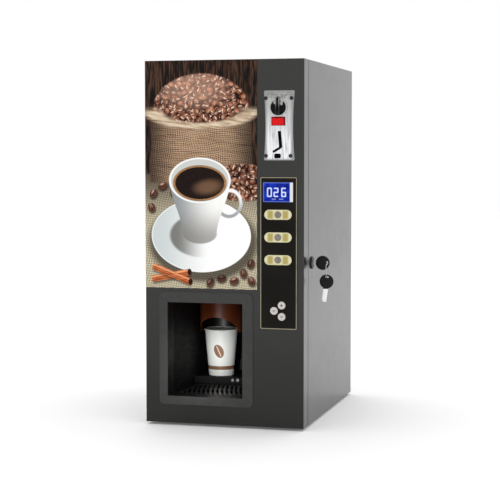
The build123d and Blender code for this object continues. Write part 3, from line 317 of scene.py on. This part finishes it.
def coin_plate_metal():
    """Nickel-plated casting, greyer above and round its edges as painted reflection, with glints painted in
    its black coin well.
    """
    paint = Paint("coin_plate_metal")
    low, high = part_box("coin_plate")
    flat = paint.front_plane(low.x, low.z)
    _, up, _ = paint.axes(flat)
    height = (high.z - low.z) / MM
    well_x, well_z = 28.1, 96.4
    brushed = paint.noise(paint.local(flat, half=(1.0, 14.0)), 0.5, 4.0)
    # painted reflection: the plate is brighter below and greyer above
    base = paint.mix(paint.fade(up, 0.2 * height, 0.9 * height), rgb(244, 246, 248), rgb(184, 184, 182))
    # brushed streaks, which also stand for vertical sheen bands as painted reflection
    base = paint.mix(paint.fade(brushed, 0.4, 0.75), base, rgb(176, 178, 182))
    # darker mottling near the top
    dark_mottling = paint.times(paint.noise(flat, 0.16, 5.0, 0.7), paint.fade(up, 0.72 * height, 0.95 * height))
    base = paint.mix(paint.fade(dark_mottling, 0.3, 0.62, 0.0, 0.75), base, rgb(112, 110, 106))
    # painted reflection: a greyer band round the plate's edges
    middle = ((high.x - low.x) / MM / 2, height / 2)
    edge = paint.slab(flat, middle, (23.0, height / 2 - 3), soft=6.0)
    base = paint.mix(edge, rgb(150, 152, 152), base)
    well = paint.disc(flat, (well_x, well_z), (14.6, 14.6), soft=0.8)
    fin = paint.slab(flat, (well_x - 1.0, well_z + 2.0), (3.9, 16.0), soft=0.4)
    slot = paint.slab(flat, (well_x - 1.0, well_z + 2.5), (2.1, 15.0), soft=1.0)
    glare = paint.either(paint.slab(flat, (well_x - 7.0, well_z + 10.0), (2.4, 3.6), 10.0, 2.0),
                         paint.slab(flat, (well_x + 5.5, well_z + 9.0), (2.4, 4.6), -8.0, 2.0))
    side_fin = paint.times(fin, paint.fade(up, well_z - 2, well_z + 12, 0.05, 0.5))
    bare = paint.either(paint.times(glare, 0.85), side_fin)
    black = paint.either(paint.times(paint.either(well, fin), paint.less(1.0, bare)), slot)
    tone = paint.mix(black, base, rgb(16, 16, 18))
    surface = paint.finish(tone, paint.fade(brushed, 0.2, 0.8, 0.2, 0.34), paint.less(1.0, black))
    paint.give(paint.shader.inputs["Specular IOR Level"], paint.fade(black, 0.0, 1.0, 0.5, 0.08))
    paint.bump(paint.noise(paint.place, 600.0, 3.0), 0.00002, 0.4)
    return surface


def red_button():
    """Clear red button, with painted shade darkening it towards its top and right edges."""
    paint = Paint("red_button")
    low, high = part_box("return_button")
    flat = paint.front_plane(low.x, low.z)
    width, height = (high.x - low.x) / MM, (high.z - low.z) / MM
    face = paint.slab(flat, (width * 0.46, height * 0.44), (width * 0.42, height * 0.38), soft=1.4)
    streak = paint.noise(flat, 0.5, 2.0)
    bright = paint.mix(paint.fade(streak, 0.3, 0.7), rgb(228, 24, 28), rgb(205, 14, 20))
    # painted shade: the margin outside the face, wider at the top and right, is dark red
    tone = paint.mix(face, rgb(120, 8, 12), bright)
    return paint.finish(tone, paint.fade(streak, 0.2, 0.8, 0.25, 0.35), Specular_IOR_Level=0.12)


def label_plate():
    """Pale gold plates: cream rim, deeper gold either side of the button."""
    paint = Paint("label_plate")
    low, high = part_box("label_plates")
    flat = paint.front_plane(low.x, low.z)
    width = (high.x - low.x) / MM
    rows = [sum(corner.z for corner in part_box(f"select_button_{number}")) / 2 for number in (1, 2, 3)]
    pitch = (rows[0] - rows[1]) / MM
    first = (rows[2] - low.z) / MM
    x, y, _ = paint.axes(flat)
    row = paint.math("ROUND", paint.times(paint.less(y, first), 1 / pitch))
    folded = paint.join(x, paint.less(paint.less(y, first), paint.times(row, pitch)), 1.0)
    inner = paint.slab(folded, (width / 2, 0), (width / 2 - 5.0, 7.2), soft=4.5)
    side = paint.times(paint.math("ABSOLUTE", paint.less(x, width / 2)), 1 / width)
    patch = paint.times(paint.fade(side, 0.14, 0.22), paint.fade(side, 0.42, 0.33))
    gold = paint.mix(patch, rgb(226, 214, 180), rgb(176, 162, 92))
    lines = paint.noise(paint.local(flat, half=(20.0, 1.0)), 2.0, 2.0)
    tone = paint.mix(inner, rgb(226, 223, 182), gold)
    tone = paint.mix(paint.fade(lines, 0.3, 0.8, 0.0, 0.25), tone, rgb(150, 138, 76))
    surface = paint.finish(tone, paint.fade(lines, 0.2, 0.8, 0.26, 0.4), 0.35)
    paint.bump(lines, 0.00002, 0.3)
    return surface


# each segment's middle, right and up in cell sizes, and its turn in degrees
SEGMENT_PLACES = {
    "a": (0.5, 2.0, 0), "b": (1.0, 1.5, 90), "c": (1.0, 0.5, 90), "d": (0.5, 0.0, 0),
    "e": (0.0, 0.5, 90), "f": (0.0, 1.5, 90), "g": (0.5, 1.0, 0),
}
DIGIT_SEGMENTS = {"0": "abcdef", "2": "abged", "6": "acdefg"}


def display():
    """Backlit display: three seven-segment digits over two bars, and a lit right edge."""
    paint = Paint("display")
    low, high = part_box("lcd_module")
    flat = paint.front_plane(low.x, low.z)
    width, height = (high.x - low.x) / MM, (high.z - low.z) / MM
    window = paint.slab(flat, (0.455 * width, 0.5 * height), (0.425 * width, 0.455 * height), soft=1.6)
    lit_edge = paint.slab(flat, (0.945 * width, 0.5 * height), (0.05 * width, 0.49 * height), soft=0.8)
    cloud = paint.noise(flat, 0.09, 2.0)
    blue = paint.mix(paint.fade(cloud, 0.35, 0.65), rgb(2, 12, 112), rgb(10, 48, 172))
    tone = paint.mix(window, rgb(84, 104, 190), blue)
    tone = paint.mix(lit_edge, tone, rgb(208, 208, 208))
    cell = (0.125 * width, 0.205 * height)
    ink = 0.0
    for digit, left in zip("026", (0.15, 0.37, 0.625)):
        for segment in DIGIT_SEGMENTS[digit]:
            across, up, turn = SEGMENT_PLACES[segment]
            centre = (left * width + across * cell[0], 0.29 * height + up * cell[1])
            length = cell[1] if turn else cell[0]
            stroke = paint.slab(flat, centre, (length / 2 + 0.3, 1.15), turn, 1.1)
            ink = paint.either(ink, stroke)
    for across in (0.36, 0.6):
        mark = paint.slab(flat, (across * width, 0.15 * height), (0.07 * width, 0.8), soft=1.2)
        ink = paint.either(ink, paint.times(mark, 0.45))
    tone = paint.mix(ink, tone, rgb(196, 212, 255))
    surface = paint.finish(tone, paint.fade(cloud, 0.2, 0.8, 0.2, 0.3), Specular_IOR_Level=0.1)
    paint.give(paint.shader.inputs["Emission Color"], tone)
    paint.give(paint.shader.inputs["Emission Strength"], 0.22)
    return surface


def drink_button():
    """Grey membrane dome with a worn, mottled top."""
    paint = Paint("drink_button")
    wear = paint.noise(paint.place, 420.0, 3.0)
    tone = paint.mix(paint.fade(wear, 0.35, 0.65), rgb(104, 104, 94), rgb(140, 138, 124))
    surface = paint.finish(tone, paint.fade(wear, 0.3, 0.7, 0.4, 0.6))
    paint.bump(wear, 0.00006, 0.6)
    return surface


def menu_button():
    """Silver buttons with a small generic plus or minus stamped on each."""
    paint = Paint("menu_button")
    marks, rims = 0.0, 0.0
    for number, has_plus in ((1, True), (2, False), (3, False)):
        low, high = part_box(f"menu_button_{number}")
        flat = paint.front_plane((low.x + high.x) / 2, (low.z + high.z) / 2)
        marks = paint.either(marks, paint.slab(flat, (0, 0), (2.6, 0.75), soft=0.7))
        if has_plus:
            marks = paint.either(marks, paint.slab(flat, (0, 0), (0.75, 2.6), soft=0.7))
        reach = (high.x - low.x) / MM / 2
        rims = paint.either(rims, paint.ring(flat, (0, 0), (reach, reach), 3.0))
    turned = paint.noise(paint.place, 900.0, 2.0)
    tone = paint.mix(paint.fade(turned, 0.3, 0.7), rgb(208, 204, 202), rgb(188, 185, 183))
    tone = paint.mix(paint.times(rims, 0.8), tone, rgb(120, 118, 116))
    tone = paint.mix(marks, tone, rgb(74, 70, 70))
    surface = paint.finish(tone, 0.34, 0.25)
    paint.bump(paint.less(1.0, marks), 0.0001, 0.6)
    return surface


def key_finish():
    """Black moulded bows on nickel blades."""
    paint = Paint("key_finish")
    x, _, z = paint.axes(paint.place)
    blend = 0.1 * MM
    bow_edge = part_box("key")[1].x - 26.4 * MM
    spare_bow_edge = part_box("spare_key")[1].z - 27.0 * MM
    hanging = paint.fade(z, spare_bow_edge + blend, spare_bow_edge - blend)
    in_lock = paint.fade(x, bow_edge + blend, bow_edge - blend)
    blade = paint.either(hanging, in_lock)
    scratches = paint.noise(paint.vector("MULTIPLY", paint.place, (1, 1, 12)), 220.0, 5.0)
    tone = paint.mix(blade, rgb(12, 12, 12), rgb(246, 246, 246))
    surface = paint.finish(tone, paint.fade(scratches, 0.3, 0.8, 0.22, 0.42), blade, Specular_IOR_Level=0.2)
    paint.bump(scratches, 0.00003, 0.3)
    return surface


cup_centre = (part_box("cup")[0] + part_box("cup")[1]) / 2


def paper_cup():
    """White paper with a plain level band at the foot and one coffee bean printed above it."""
    paint = Paint("paper_cup")
    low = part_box("cup")[0]
    x, y, z = paint.axes(paint.place)
    mean_radius = 30.0
    turn = paint.math("ARCTAN2", paint.less(x, cup_centre.x), paint.less(cup_centre.y, y))
    flat = paint.join(paint.times(turn, mean_radius), paint.times(paint.less(z, low.z), 1 / MM), 1.0)
    _, up, _ = paint.axes(flat)
    grain = paint.noise(flat, 0.25, 3.0)
    bean = paint.disc(flat, (3.0, 50.0), (9.5, 14.0), 24.0, 0.8)
    tone = paint.mix(bean, rgb(242, 242, 236), paint.mix(grain, rgb(118, 78, 50), rgb(160, 112, 76)))
    seam = paint.bar(flat, (7.6, 39.7), (-1.6, 60.3), 1.6, 0.7)
    tone = paint.mix(seam, tone, rgb(236, 232, 222))
    band = paint.times(paint.fade(up, 12.0, 12.6), paint.fade(up, 20.0, 19.4))
    tone = paint.mix(band, tone, paint.mix(grain, rgb(110, 72, 48), rgb(150, 106, 74)))
    fibre = paint.noise(paint.place, 1500.0, 4.0)
    surface = paint.finish(tone, paint.fade(fibre, 0.3, 0.7, 0.42, 0.6), Subsurface_Weight=0.05)
    paint.bump(fibre, 0.00002, 0.4)
    return surface


def tinted_chute():
    """Smoked red-brown plastic with faint flow marks, and painted shade making it nearly black behind the
    cup.
    """
    paint = Paint("tinted_chute")
    flow = paint.noise(paint.vector("MULTIPLY", paint.place, (1, 1, 0.3)), 30.0, 3.0)
    tone = paint.mix(paint.fade(flow, 0.3, 0.7), rgb(112, 50, 20), rgb(138, 74, 44))
    _, depth, _ = paint.axes(paint.place)
    # painted shade: the chute is made nearly black behind the cup, where it lies in shadow
    behind = paint.fade(depth, cup_centre.y - 4 * MM, cup_centre.y + 6 * MM)
    tone = paint.mix(behind, tone, rgb(8, 4, 3))
    surface = paint.finish(tone, paint.fade(flow, 0.2, 0.8, 0.36, 0.44), Specular_IOR_Level=0.4)
    paint.bump(flow, 0.0002, 0.2)
    return surface


def overlay_black():
    """Satin black overlay film with faint dust and a slightly warm cast."""
    paint = Paint("overlay_black")
    dust = paint.fade(paint.noise(paint.place, 2600.0, 1.0), 0.72, 0.8)
    sweep = paint.noise(paint.place, 12.0, 2.0)
    tone = paint.mix(paint.fade(sweep, 0.3, 0.7), rgb(22, 20, 17), rgb(30, 27, 24))
    tone = paint.mix(paint.times(dust, 0.3), tone, rgb(70, 68, 64))
    return paint.finish(tone, paint.fade(sweep, 0.2, 0.8, 0.4, 0.52), Specular_IOR_Level=0.06)


# ---------------------------------------------------------------- the printed picture
def coffee_beans(paint, flat, size, shift):
    """Colour of a packed bed of beans, and where a bean covers the ground."""
    moved = paint.local(flat, (-shift, -shift * 1.7))
    cell = paint.cells(moved, 1 / size, 0.9)
    turn, tint, marked = paint.axes(cell.outputs["Color"])
    offset = paint.vector("SUBTRACT", moved, cell.outputs["Position"])
    east = paint.vector("DOT_PRODUCT", offset, (1 / size, 0, 0))
    north = paint.vector("DOT_PRODUCT", offset, (0, 1 / size, 0))
    angle = paint.times(turn, 2 * math.pi)
    run, rise = paint.math("COSINE", angle), paint.math("SINE", angle)
    x = paint.add(paint.times(east, run), paint.times(north, rise))
    y = paint.less(paint.times(north, run), paint.times(east, rise))
    distance = paint.vector("LENGTH", paint.join(paint.times(x, 1 / 0.6), paint.times(y, 1 / 0.43)))
    cover = paint.fade(distance, 1.0, 0.86)
    wavy = paint.add(y, paint.times(paint.math("SINE", paint.times(x, 4.5)), 0.07))
    crease = paint.fade(paint.math("ABSOLUTE", wavy), 0.1, 0.03)
    crease = paint.times(crease, paint.fade(marked, 0.35, 0.45))
    side = paint.times(paint.less(y, 0.13), 1 / 0.24)
    shine = paint.vector("LENGTH", paint.join(paint.times(paint.add(x, 0.08), 1 / 0.4), side))
    glint = paint.times(paint.fade(shine, 1.2, 0.3), paint.fade(marked, 0.1, 0.8, 0.25, 1.0))
    body = paint.mix(tint, rgb(84, 36, 24), rgb(180, 112, 76))
    body = paint.mix(paint.fade(distance, 0.5, 1.0, 0.0, 0.8), body, rgb(38, 12, 10))
    body = paint.mix(glint, body, rgb(246, 208, 184))
    body = paint.mix(crease, body, rgb(36, 14, 10))
    return body, cover


def weave(paint, flat, degrees, pitch, warp):
    """Height of a plain burlap weave, from 0 in the gaps to 1 on the threads."""
    bent = paint.noise(flat, 0.03, 2.0)
    x, y, _ = paint.axes(paint.local(flat, degrees=degrees))
    x = paint.add(x, paint.times(bent, warp))
    y = paint.add(y, paint.times(bent, -warp))
    across = paint.math("SINE", paint.times(x, 2 * math.pi / pitch))
    along = paint.math("SINE", paint.times(y, 2 * math.pi / pitch))
    return paint.fade(paint.either(across, along), -0.3, 0.95)


def coffee_picture():
    """A generic still life painted with nodes: a cup of coffee in front of a sack of beans."""
    paint = Paint("coffee_picture")
    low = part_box("picture_panel")[0]
    flat = paint.front_plane(low.x, low.z)
    u, v, _ = paint.axes(flat)
    fine_noise = paint.noise(flat, 0.3, 4.0)

    # dark upright boards behind, pale sacking laid over the table
    grain = paint.noise(paint.local(flat, half=(1.0, 9.0)), 0.3, 4.0)
    colour = paint.mix(paint.fade(grain, 0.4, 0.7), rgb(18, 11, 9), rgb(84, 58, 44))
    threads = weave(paint, flat, 8.0, 3.1, 6.0)
    sacking = paint.mix(threads, rgb(96, 84, 62), rgb(216, 206, 178))
    sacking = paint.mix(paint.fade(v, 110, 215, 0.0, 0.85), sacking, rgb(58, 42, 30))
    colour = paint.mix(paint.fade(v, 216, 206), colour, sacking)

    # beans heaped in the sack's mouth, and a spill of them on the table
    bean_tone, bean_cover = coffee_beans(paint, flat, 11.5, 0.0)
    lower_tone, lower_cover = coffee_beans(paint, flat, 10.5, 61.0)
    ground = paint.mix(lower_cover, rgb(26, 9, 8), paint.mix(0.4, lower_tone, rgb(24, 9, 8)))
    bed = paint.mix(bean_cover, ground, bean_tone)
    sack_u, rim_v = 108, 330
    heap = paint.disc(flat, (sack_u, rim_v), (92, 66), 0.0, 4.0)
    colour = paint.mix(heap, colour, bed)
    lit = paint.times(heap, paint.disc(flat, (92, 372), (60, 34), 0.0, 40), 0.25)
    colour = paint.mix(lit, colour, rgb(255, 208, 184))

    # the sack's woven front, darker to the sides, with its rim rolled down
    streak = paint.noise(paint.local(flat, half=(9.0, 1.0), degrees=-6.0), 0.22, 5.0, 0.65)
    thread = paint.add(paint.times(weave(paint, flat, -6.0, 3.4, 12.0), 0.45), paint.times(streak, 0.75))
    sack = paint.mix(paint.fade(thread, 0.3, 0.95), rgb(58, 36, 26), rgb(200, 166, 134))
    beside_sack = paint.math("ABSOLUTE", paint.less(u, sack_u))
    sack = paint.mix(paint.fade(beside_sack, 36, 104, 0.0, 0.85), sack, rgb(22, 13, 10))
    front = paint.outline(flat, [(10, 196), (207, 196), (204, 336), (13, 336)], 5.0)
    mouth = paint.disc(flat, (sack_u, rim_v + 4), (97, 30), 0.0, 2.0)
    colour = paint.mix(paint.times(front, paint.less(1.0, mouth)), colour, sack)
    rolled = paint.ring(flat, (sack_u, rim_v), (94, 30), 17.0)
    rolled = paint.times(rolled, paint.fade(v, rim_v + 8, rim_v - 8))
    roll_tone = paint.mix(paint.fade(streak, 0.3, 0.7), rgb(150, 118, 90), rgb(236, 218, 190))
    colour = paint.mix(rolled, colour, roll_tone)
    spill = paint.disc(flat, (186, 196), (72, 34), 0.0, 4.0)
    colour = paint.mix(spill, colour, bed)

    # loose beans on the sacking
    loose_beans = (
        (16, 176, 60), (34, 190, 20), (12, 150, 110), (56, 180, 70), (190, 30, 100),
        (204, 48, 75), (172, 16, 20), (205, 16, 120), (148, 20, 10), (126, 12, 60),
    )
    for x, y, turn in loose_beans:
        run, rise = 6 * math.cos(math.radians(turn)), 6 * math.sin(math.radians(turn))
        fall = paint.disc(flat, (x + 1, y - 3), (10.0, 8.0), turn, 5.0)
        bean = paint.disc(flat, (x, y), (8.4, 6.4), turn, 1.4)
        glint = paint.disc(flat, (x - 1, y + 3), (4.0, 2.0), turn, 3.0)
        seam = paint.bar(flat, (x - run, y - rise), (x + run, y + rise), 1.4, 1.2)
        colour = paint.mix(paint.times(fall, 0.85), colour, rgb(40, 26, 18))
        colour = paint.mix(bean, colour, paint.mix(fine_noise, rgb(44, 18, 14), rgb(118, 72, 56)))
        colour = paint.mix(paint.times(glint, 0.7), colour, rgb(216, 176, 160))
        colour = paint.mix(seam, colour, rgb(26, 9, 8))

    # saucer
    saucer_centre = (108, 98)
    fall = paint.disc(flat, (112, 86), (106, 74), 0.0, 14.0)
    colour = paint.mix(paint.times(fall, 0.8), colour, rgb(34, 24, 18))
    dish = paint.mix(paint.fade(u, 20, 140), rgb(204, 212, 212), rgb(255, 255, 254))
    well = paint.disc(flat, saucer_centre, (60, 40), 0.0, 5.0)
    dish = paint.mix(paint.times(well, paint.fade(u, 124, 58)), dish, rgb(124, 124, 120))
    colour = paint.mix(paint.disc(flat, saucer_centre, (96, 68), 0.0, 1.6), colour, dish)
    lip = paint.ring(flat, saucer_centre, (94.6, 66.6), 1.8)
    colour = paint.mix(paint.times(lip, 0.7), colour, rgb(255, 255, 255))

    # cup with its handle to the right
    cup_u, brim_v, brew_v = 106, 200, 195
    grip = paint.ring(flat, (163, 158), (22, 24), 9.0, -14.0)
    grip_tone = paint.mix(paint.fade(v, 134, 178), rgb(160, 164, 166), rgb(250, 251, 252))
    colour = paint.mix(grip, colour, grip_tone)
    reach = paint.add(32.0, paint.times(paint.fade(v, 96, 200), 26.0))
    beside = paint.math("DIVIDE", paint.math("ABSOLUTE", paint.less(u, cup_u)), reach)
    body = paint.times(paint.fade(beside, 1.02, 0.98), paint.fade(v, 98, 104), paint.fade(v, 202, 196))
    body = paint.either(body, paint.disc(flat, (cup_u, 102), (33, 19), 0.0, 2.5))
    body_tone = paint.mix(paint.fade(u, 54, 140), rgb(146, 150, 152), rgb(250, 250, 247))
    body_tone = paint.mix(paint.fade(v, 160, 88, 0.0, 0.7), body_tone, rgb(116, 110, 106))
    colour = paint.mix(body, colour, body_tone)
    inner_wall = paint.disc(flat, (cup_u, brim_v), (59, 42), 0.0, 1.6)
    colour = paint.mix(inner_wall, colour, rgb(206, 208, 204))
    rim = paint.ring(flat, (cup_u, brim_v), (57.6, 40.6), 4.0)
    colour = paint.mix(rim, colour, rgb(252, 252, 250))
    brew = paint.mix(paint.fade(fine_noise, 0.3, 0.7), rgb(16, 9, 8), rgb(34, 19, 14))
    sheen = paint.times(paint.disc(flat, (122, 188), (24, 12), 8.0, 14), 0.5)
    brew = paint.mix(sheen, brew, rgb(150, 112, 84))
    colour = paint.mix(paint.disc(flat, (cup_u, brew_v), (51.5, 33), 0.0, 1.6), colour, brew)
    froth = paint.ring(flat, (cup_u, brew_v), (49.5, 31), 4.0)
    colour = paint.mix(froth, colour, paint.mix(fine_noise, rgb(122, 72, 40), rgb(206, 156, 104)))

    # crossed cinnamon sticks on the cloth
    thick = 12.0
    bark_grain = paint.noise(paint.local(flat, half=(7.0, 1.0), degrees=4.0), 0.4, 4.0)
    bark = paint.mix(paint.fade(bark_grain, 0.3, 0.7), rgb(176, 80, 38), rgb(236, 146, 90))
    for start, end in (((12, 16), (86, 30)), ((14, 40), (88, 12))):
        fall = paint.bar(flat, (start[0] + 2, start[1] - 4), (end[0] + 2, end[1] - 4), thick, 6.0)
        colour = paint.mix(paint.times(fall, 0.75), colour, rgb(52, 36, 26))
        colour = paint.mix(paint.bar(flat, start, end, thick, 1.8), colour, bark)
        for lift, wide, tone in ((-3.6, 2.6, rgb(120, 46, 22)), (0.4, 1.6, rgb(140, 60, 30)),
                                 (3.4, 2.2, rgb(250, 186, 136))):
            stripe = paint.bar(flat, (start[0], start[1] + lift), (end[0], end[1] + lift), wide, 2.0)
            colour = paint.mix(paint.times(stripe, 0.7), colour, tone)
        colour = paint.mix(paint.disc(flat, end, (4.0, 6.2), 0.0, 1.5), colour, rgb(38, 14, 8))

    surface = paint.finish(colour, paint.fade(fine_noise, 0.2, 0.8, 0.3, 0.4), Specular_IOR_Level=0.1)
    paint.bump(fine_noise, 0.00001, 0.2)
    return surface


# ---------------------------------------------------------------- finish for each slot
finishes = {
    "cabinet_paint": painted_metal("cabinet_paint_finish", rgb(26, 26, 24), rgb(31, 31, 29)),
    "inner_sheet": spangled("inner_sheet_finish"),
    "liner_black": moulded("liner_black_finish", rgb(27, 27, 28), 0.6, Specular_IOR_Level=0.12),
    "bay_frame_grey": bay_surround(),
    "chute_tint": tinted_chute(),
    "overlay_black": overlay_black(),
    "picture_print": coffee_picture(),
    "trim_gold": metal("trim_gold_finish", rgb(148, 142, 122), 0.4),
    "label_gold": label_plate(),
    "chrome": coin_plate_metal(),
    "return_red": red_button(),
    "button_grey": drink_button(),
    "button_silver": menu_button(),
    "lcd_blue": display(),
    "key_black": key_finish(),
    "bright_steel": metal("bright_steel_finish", rgb(200, 200, 198), 0.26, (1, 1, 8)),
    "rubber_black": moulded("rubber_finish", rgb(24, 24, 24), 0.75),
    "clear_plastic": moulded("clear_plastic_finish", rgb(226, 230, 232), 0.2, Transmission_Weight=0.7),
    "white_plastic": moulded("white_plastic_finish", rgb(222, 222, 218), 0.38),
    "motor_metal": metal("motor_metal_finish", rgb(92, 92, 96), 0.42, (1, 6, 1)),
    "boiler_jacket": moulded("boiler_jacket_finish", rgb(34, 34, 36), 0.85, 500.0, 0.0004),
    "brass": metal("brass_finish", rgb(196, 160, 92), 0.3, spots=0.1),
    "silicone": moulded("silicone_finish", rgb(214, 214, 208), 0.4, Transmission_Weight=0.25),
    "board_green": circuit_board(),
    "paper_cup": paper_cup(),
}
slot_of = {part["node"]: part["material_slot"] for part in frame["record"]["subparts"]}

# pieces whose finish differs from their slot's
screw_shade_and_lock_steel = metal("screw_shade_and_lock_steel_finish", rgb(62, 62, 62), 0.4)
grille_satin = moulded("grille_finish", rgb(58, 58, 58), 0.38)
special_finishes = {
    # painted shade: the coin plate screws take the dark steel to stand for the shade of their recesses
    "coin_plate_screws": screw_shade_and_lock_steel,
    "lock_housing": screw_shade_and_lock_steel,
    "lock_plug": screw_shade_and_lock_steel,
    "drip_grille": grille_satin,
}
for name, cad_object in nodes.items():
    cad_object.data.materials.clear()
    cad_object.data.materials.append(special_finishes.get(name, finishes[slot_of[name]]))


# ---------------------------------------------------------------- floor, light and camera
def make_floor():
    """Plain pale floor that reaches past the horizon, with a slight glow of its own."""
    floor_size, floor_back = 14.0, 3.0
    bpy.ops.mesh.primitive_plane_add(size=floor_size, location=(0, floor_back, 0))
    floor = bpy.context.object
    floor.name = "floor"
    paint = Paint("floor_finish")
    cloud = paint.noise(paint.place, 1.5, 2.0)
    tone = paint.mix(cloud, rgb(246, 246, 246), rgb(249, 249, 249))
    surface = paint.finish(tone, paint.fade(cloud, 0.3, 0.7, 0.7, 0.8), Emission_Strength=0.1)
    paint.give(paint.shader.inputs["Emission Color"], tone)
    floor.data.materials.append(surface)


def make_world():
    """Even white studio surroundings, which the gloss paint mirrors."""
    world = bpy.data.worlds.new("studio")
    bpy.context.scene.world = world
    world.use_nodes = True
    background = world.node_tree.nodes["Background"]
    background.inputs["Color"].default_value = (1, 1, 1, 1)
    background.inputs["Strength"].default_value = 1.0


def add_softbox(name, location, target, size, power, spread=180.0):
    """Square soft light; spread is the width of its beam in degrees."""
    light = bpy.data.lights.new(name, "AREA")
    light.size = size
    light.energy = power
    light.spread = math.radians(spread)
    lamp = bpy.data.objects.new(name, light)
    lamp.location = location
    aim = Vector(target) - Vector(location)
    lamp.rotation_euler = aim.to_track_quat("-Z", "Y").to_euler()
    bpy.context.scene.collection.objects.link(lamp)


def make_camera(location, yaw, pitch, lens):
    """Camera turned yaw degrees to the left of +Y and tipped pitch degrees down."""
    camera = bpy.data.cameras.new("camera")
    camera.lens = lens
    camera.sensor_width = 36.0
    camera.clip_end = 50.0
    holder = bpy.data.objects.new("camera", camera)
    holder.location = location
    holder.rotation_euler = (math.pi / 2 - math.radians(pitch), 0, math.radians(yaw))
    bpy.context.scene.collection.objects.link(holder)
    bpy.context.scene.camera = holder


make_floor()
make_world()
add_softbox("top_light", (0.0, 1.2, 3.0), (0.0, 0.9, 0.0), size=3.0, power=20.0)
add_softbox("bay_light", (0.14, -2.3, 0.15), cup_centre, size=0.08, power=0.026, spread=3.6)
make_camera((0.7527, -2.8031, 0.5056), yaw=15.206, pitch=3.7125, lens=105.24)
bpy.context.scene.view_settings.view_transform = "Standard"
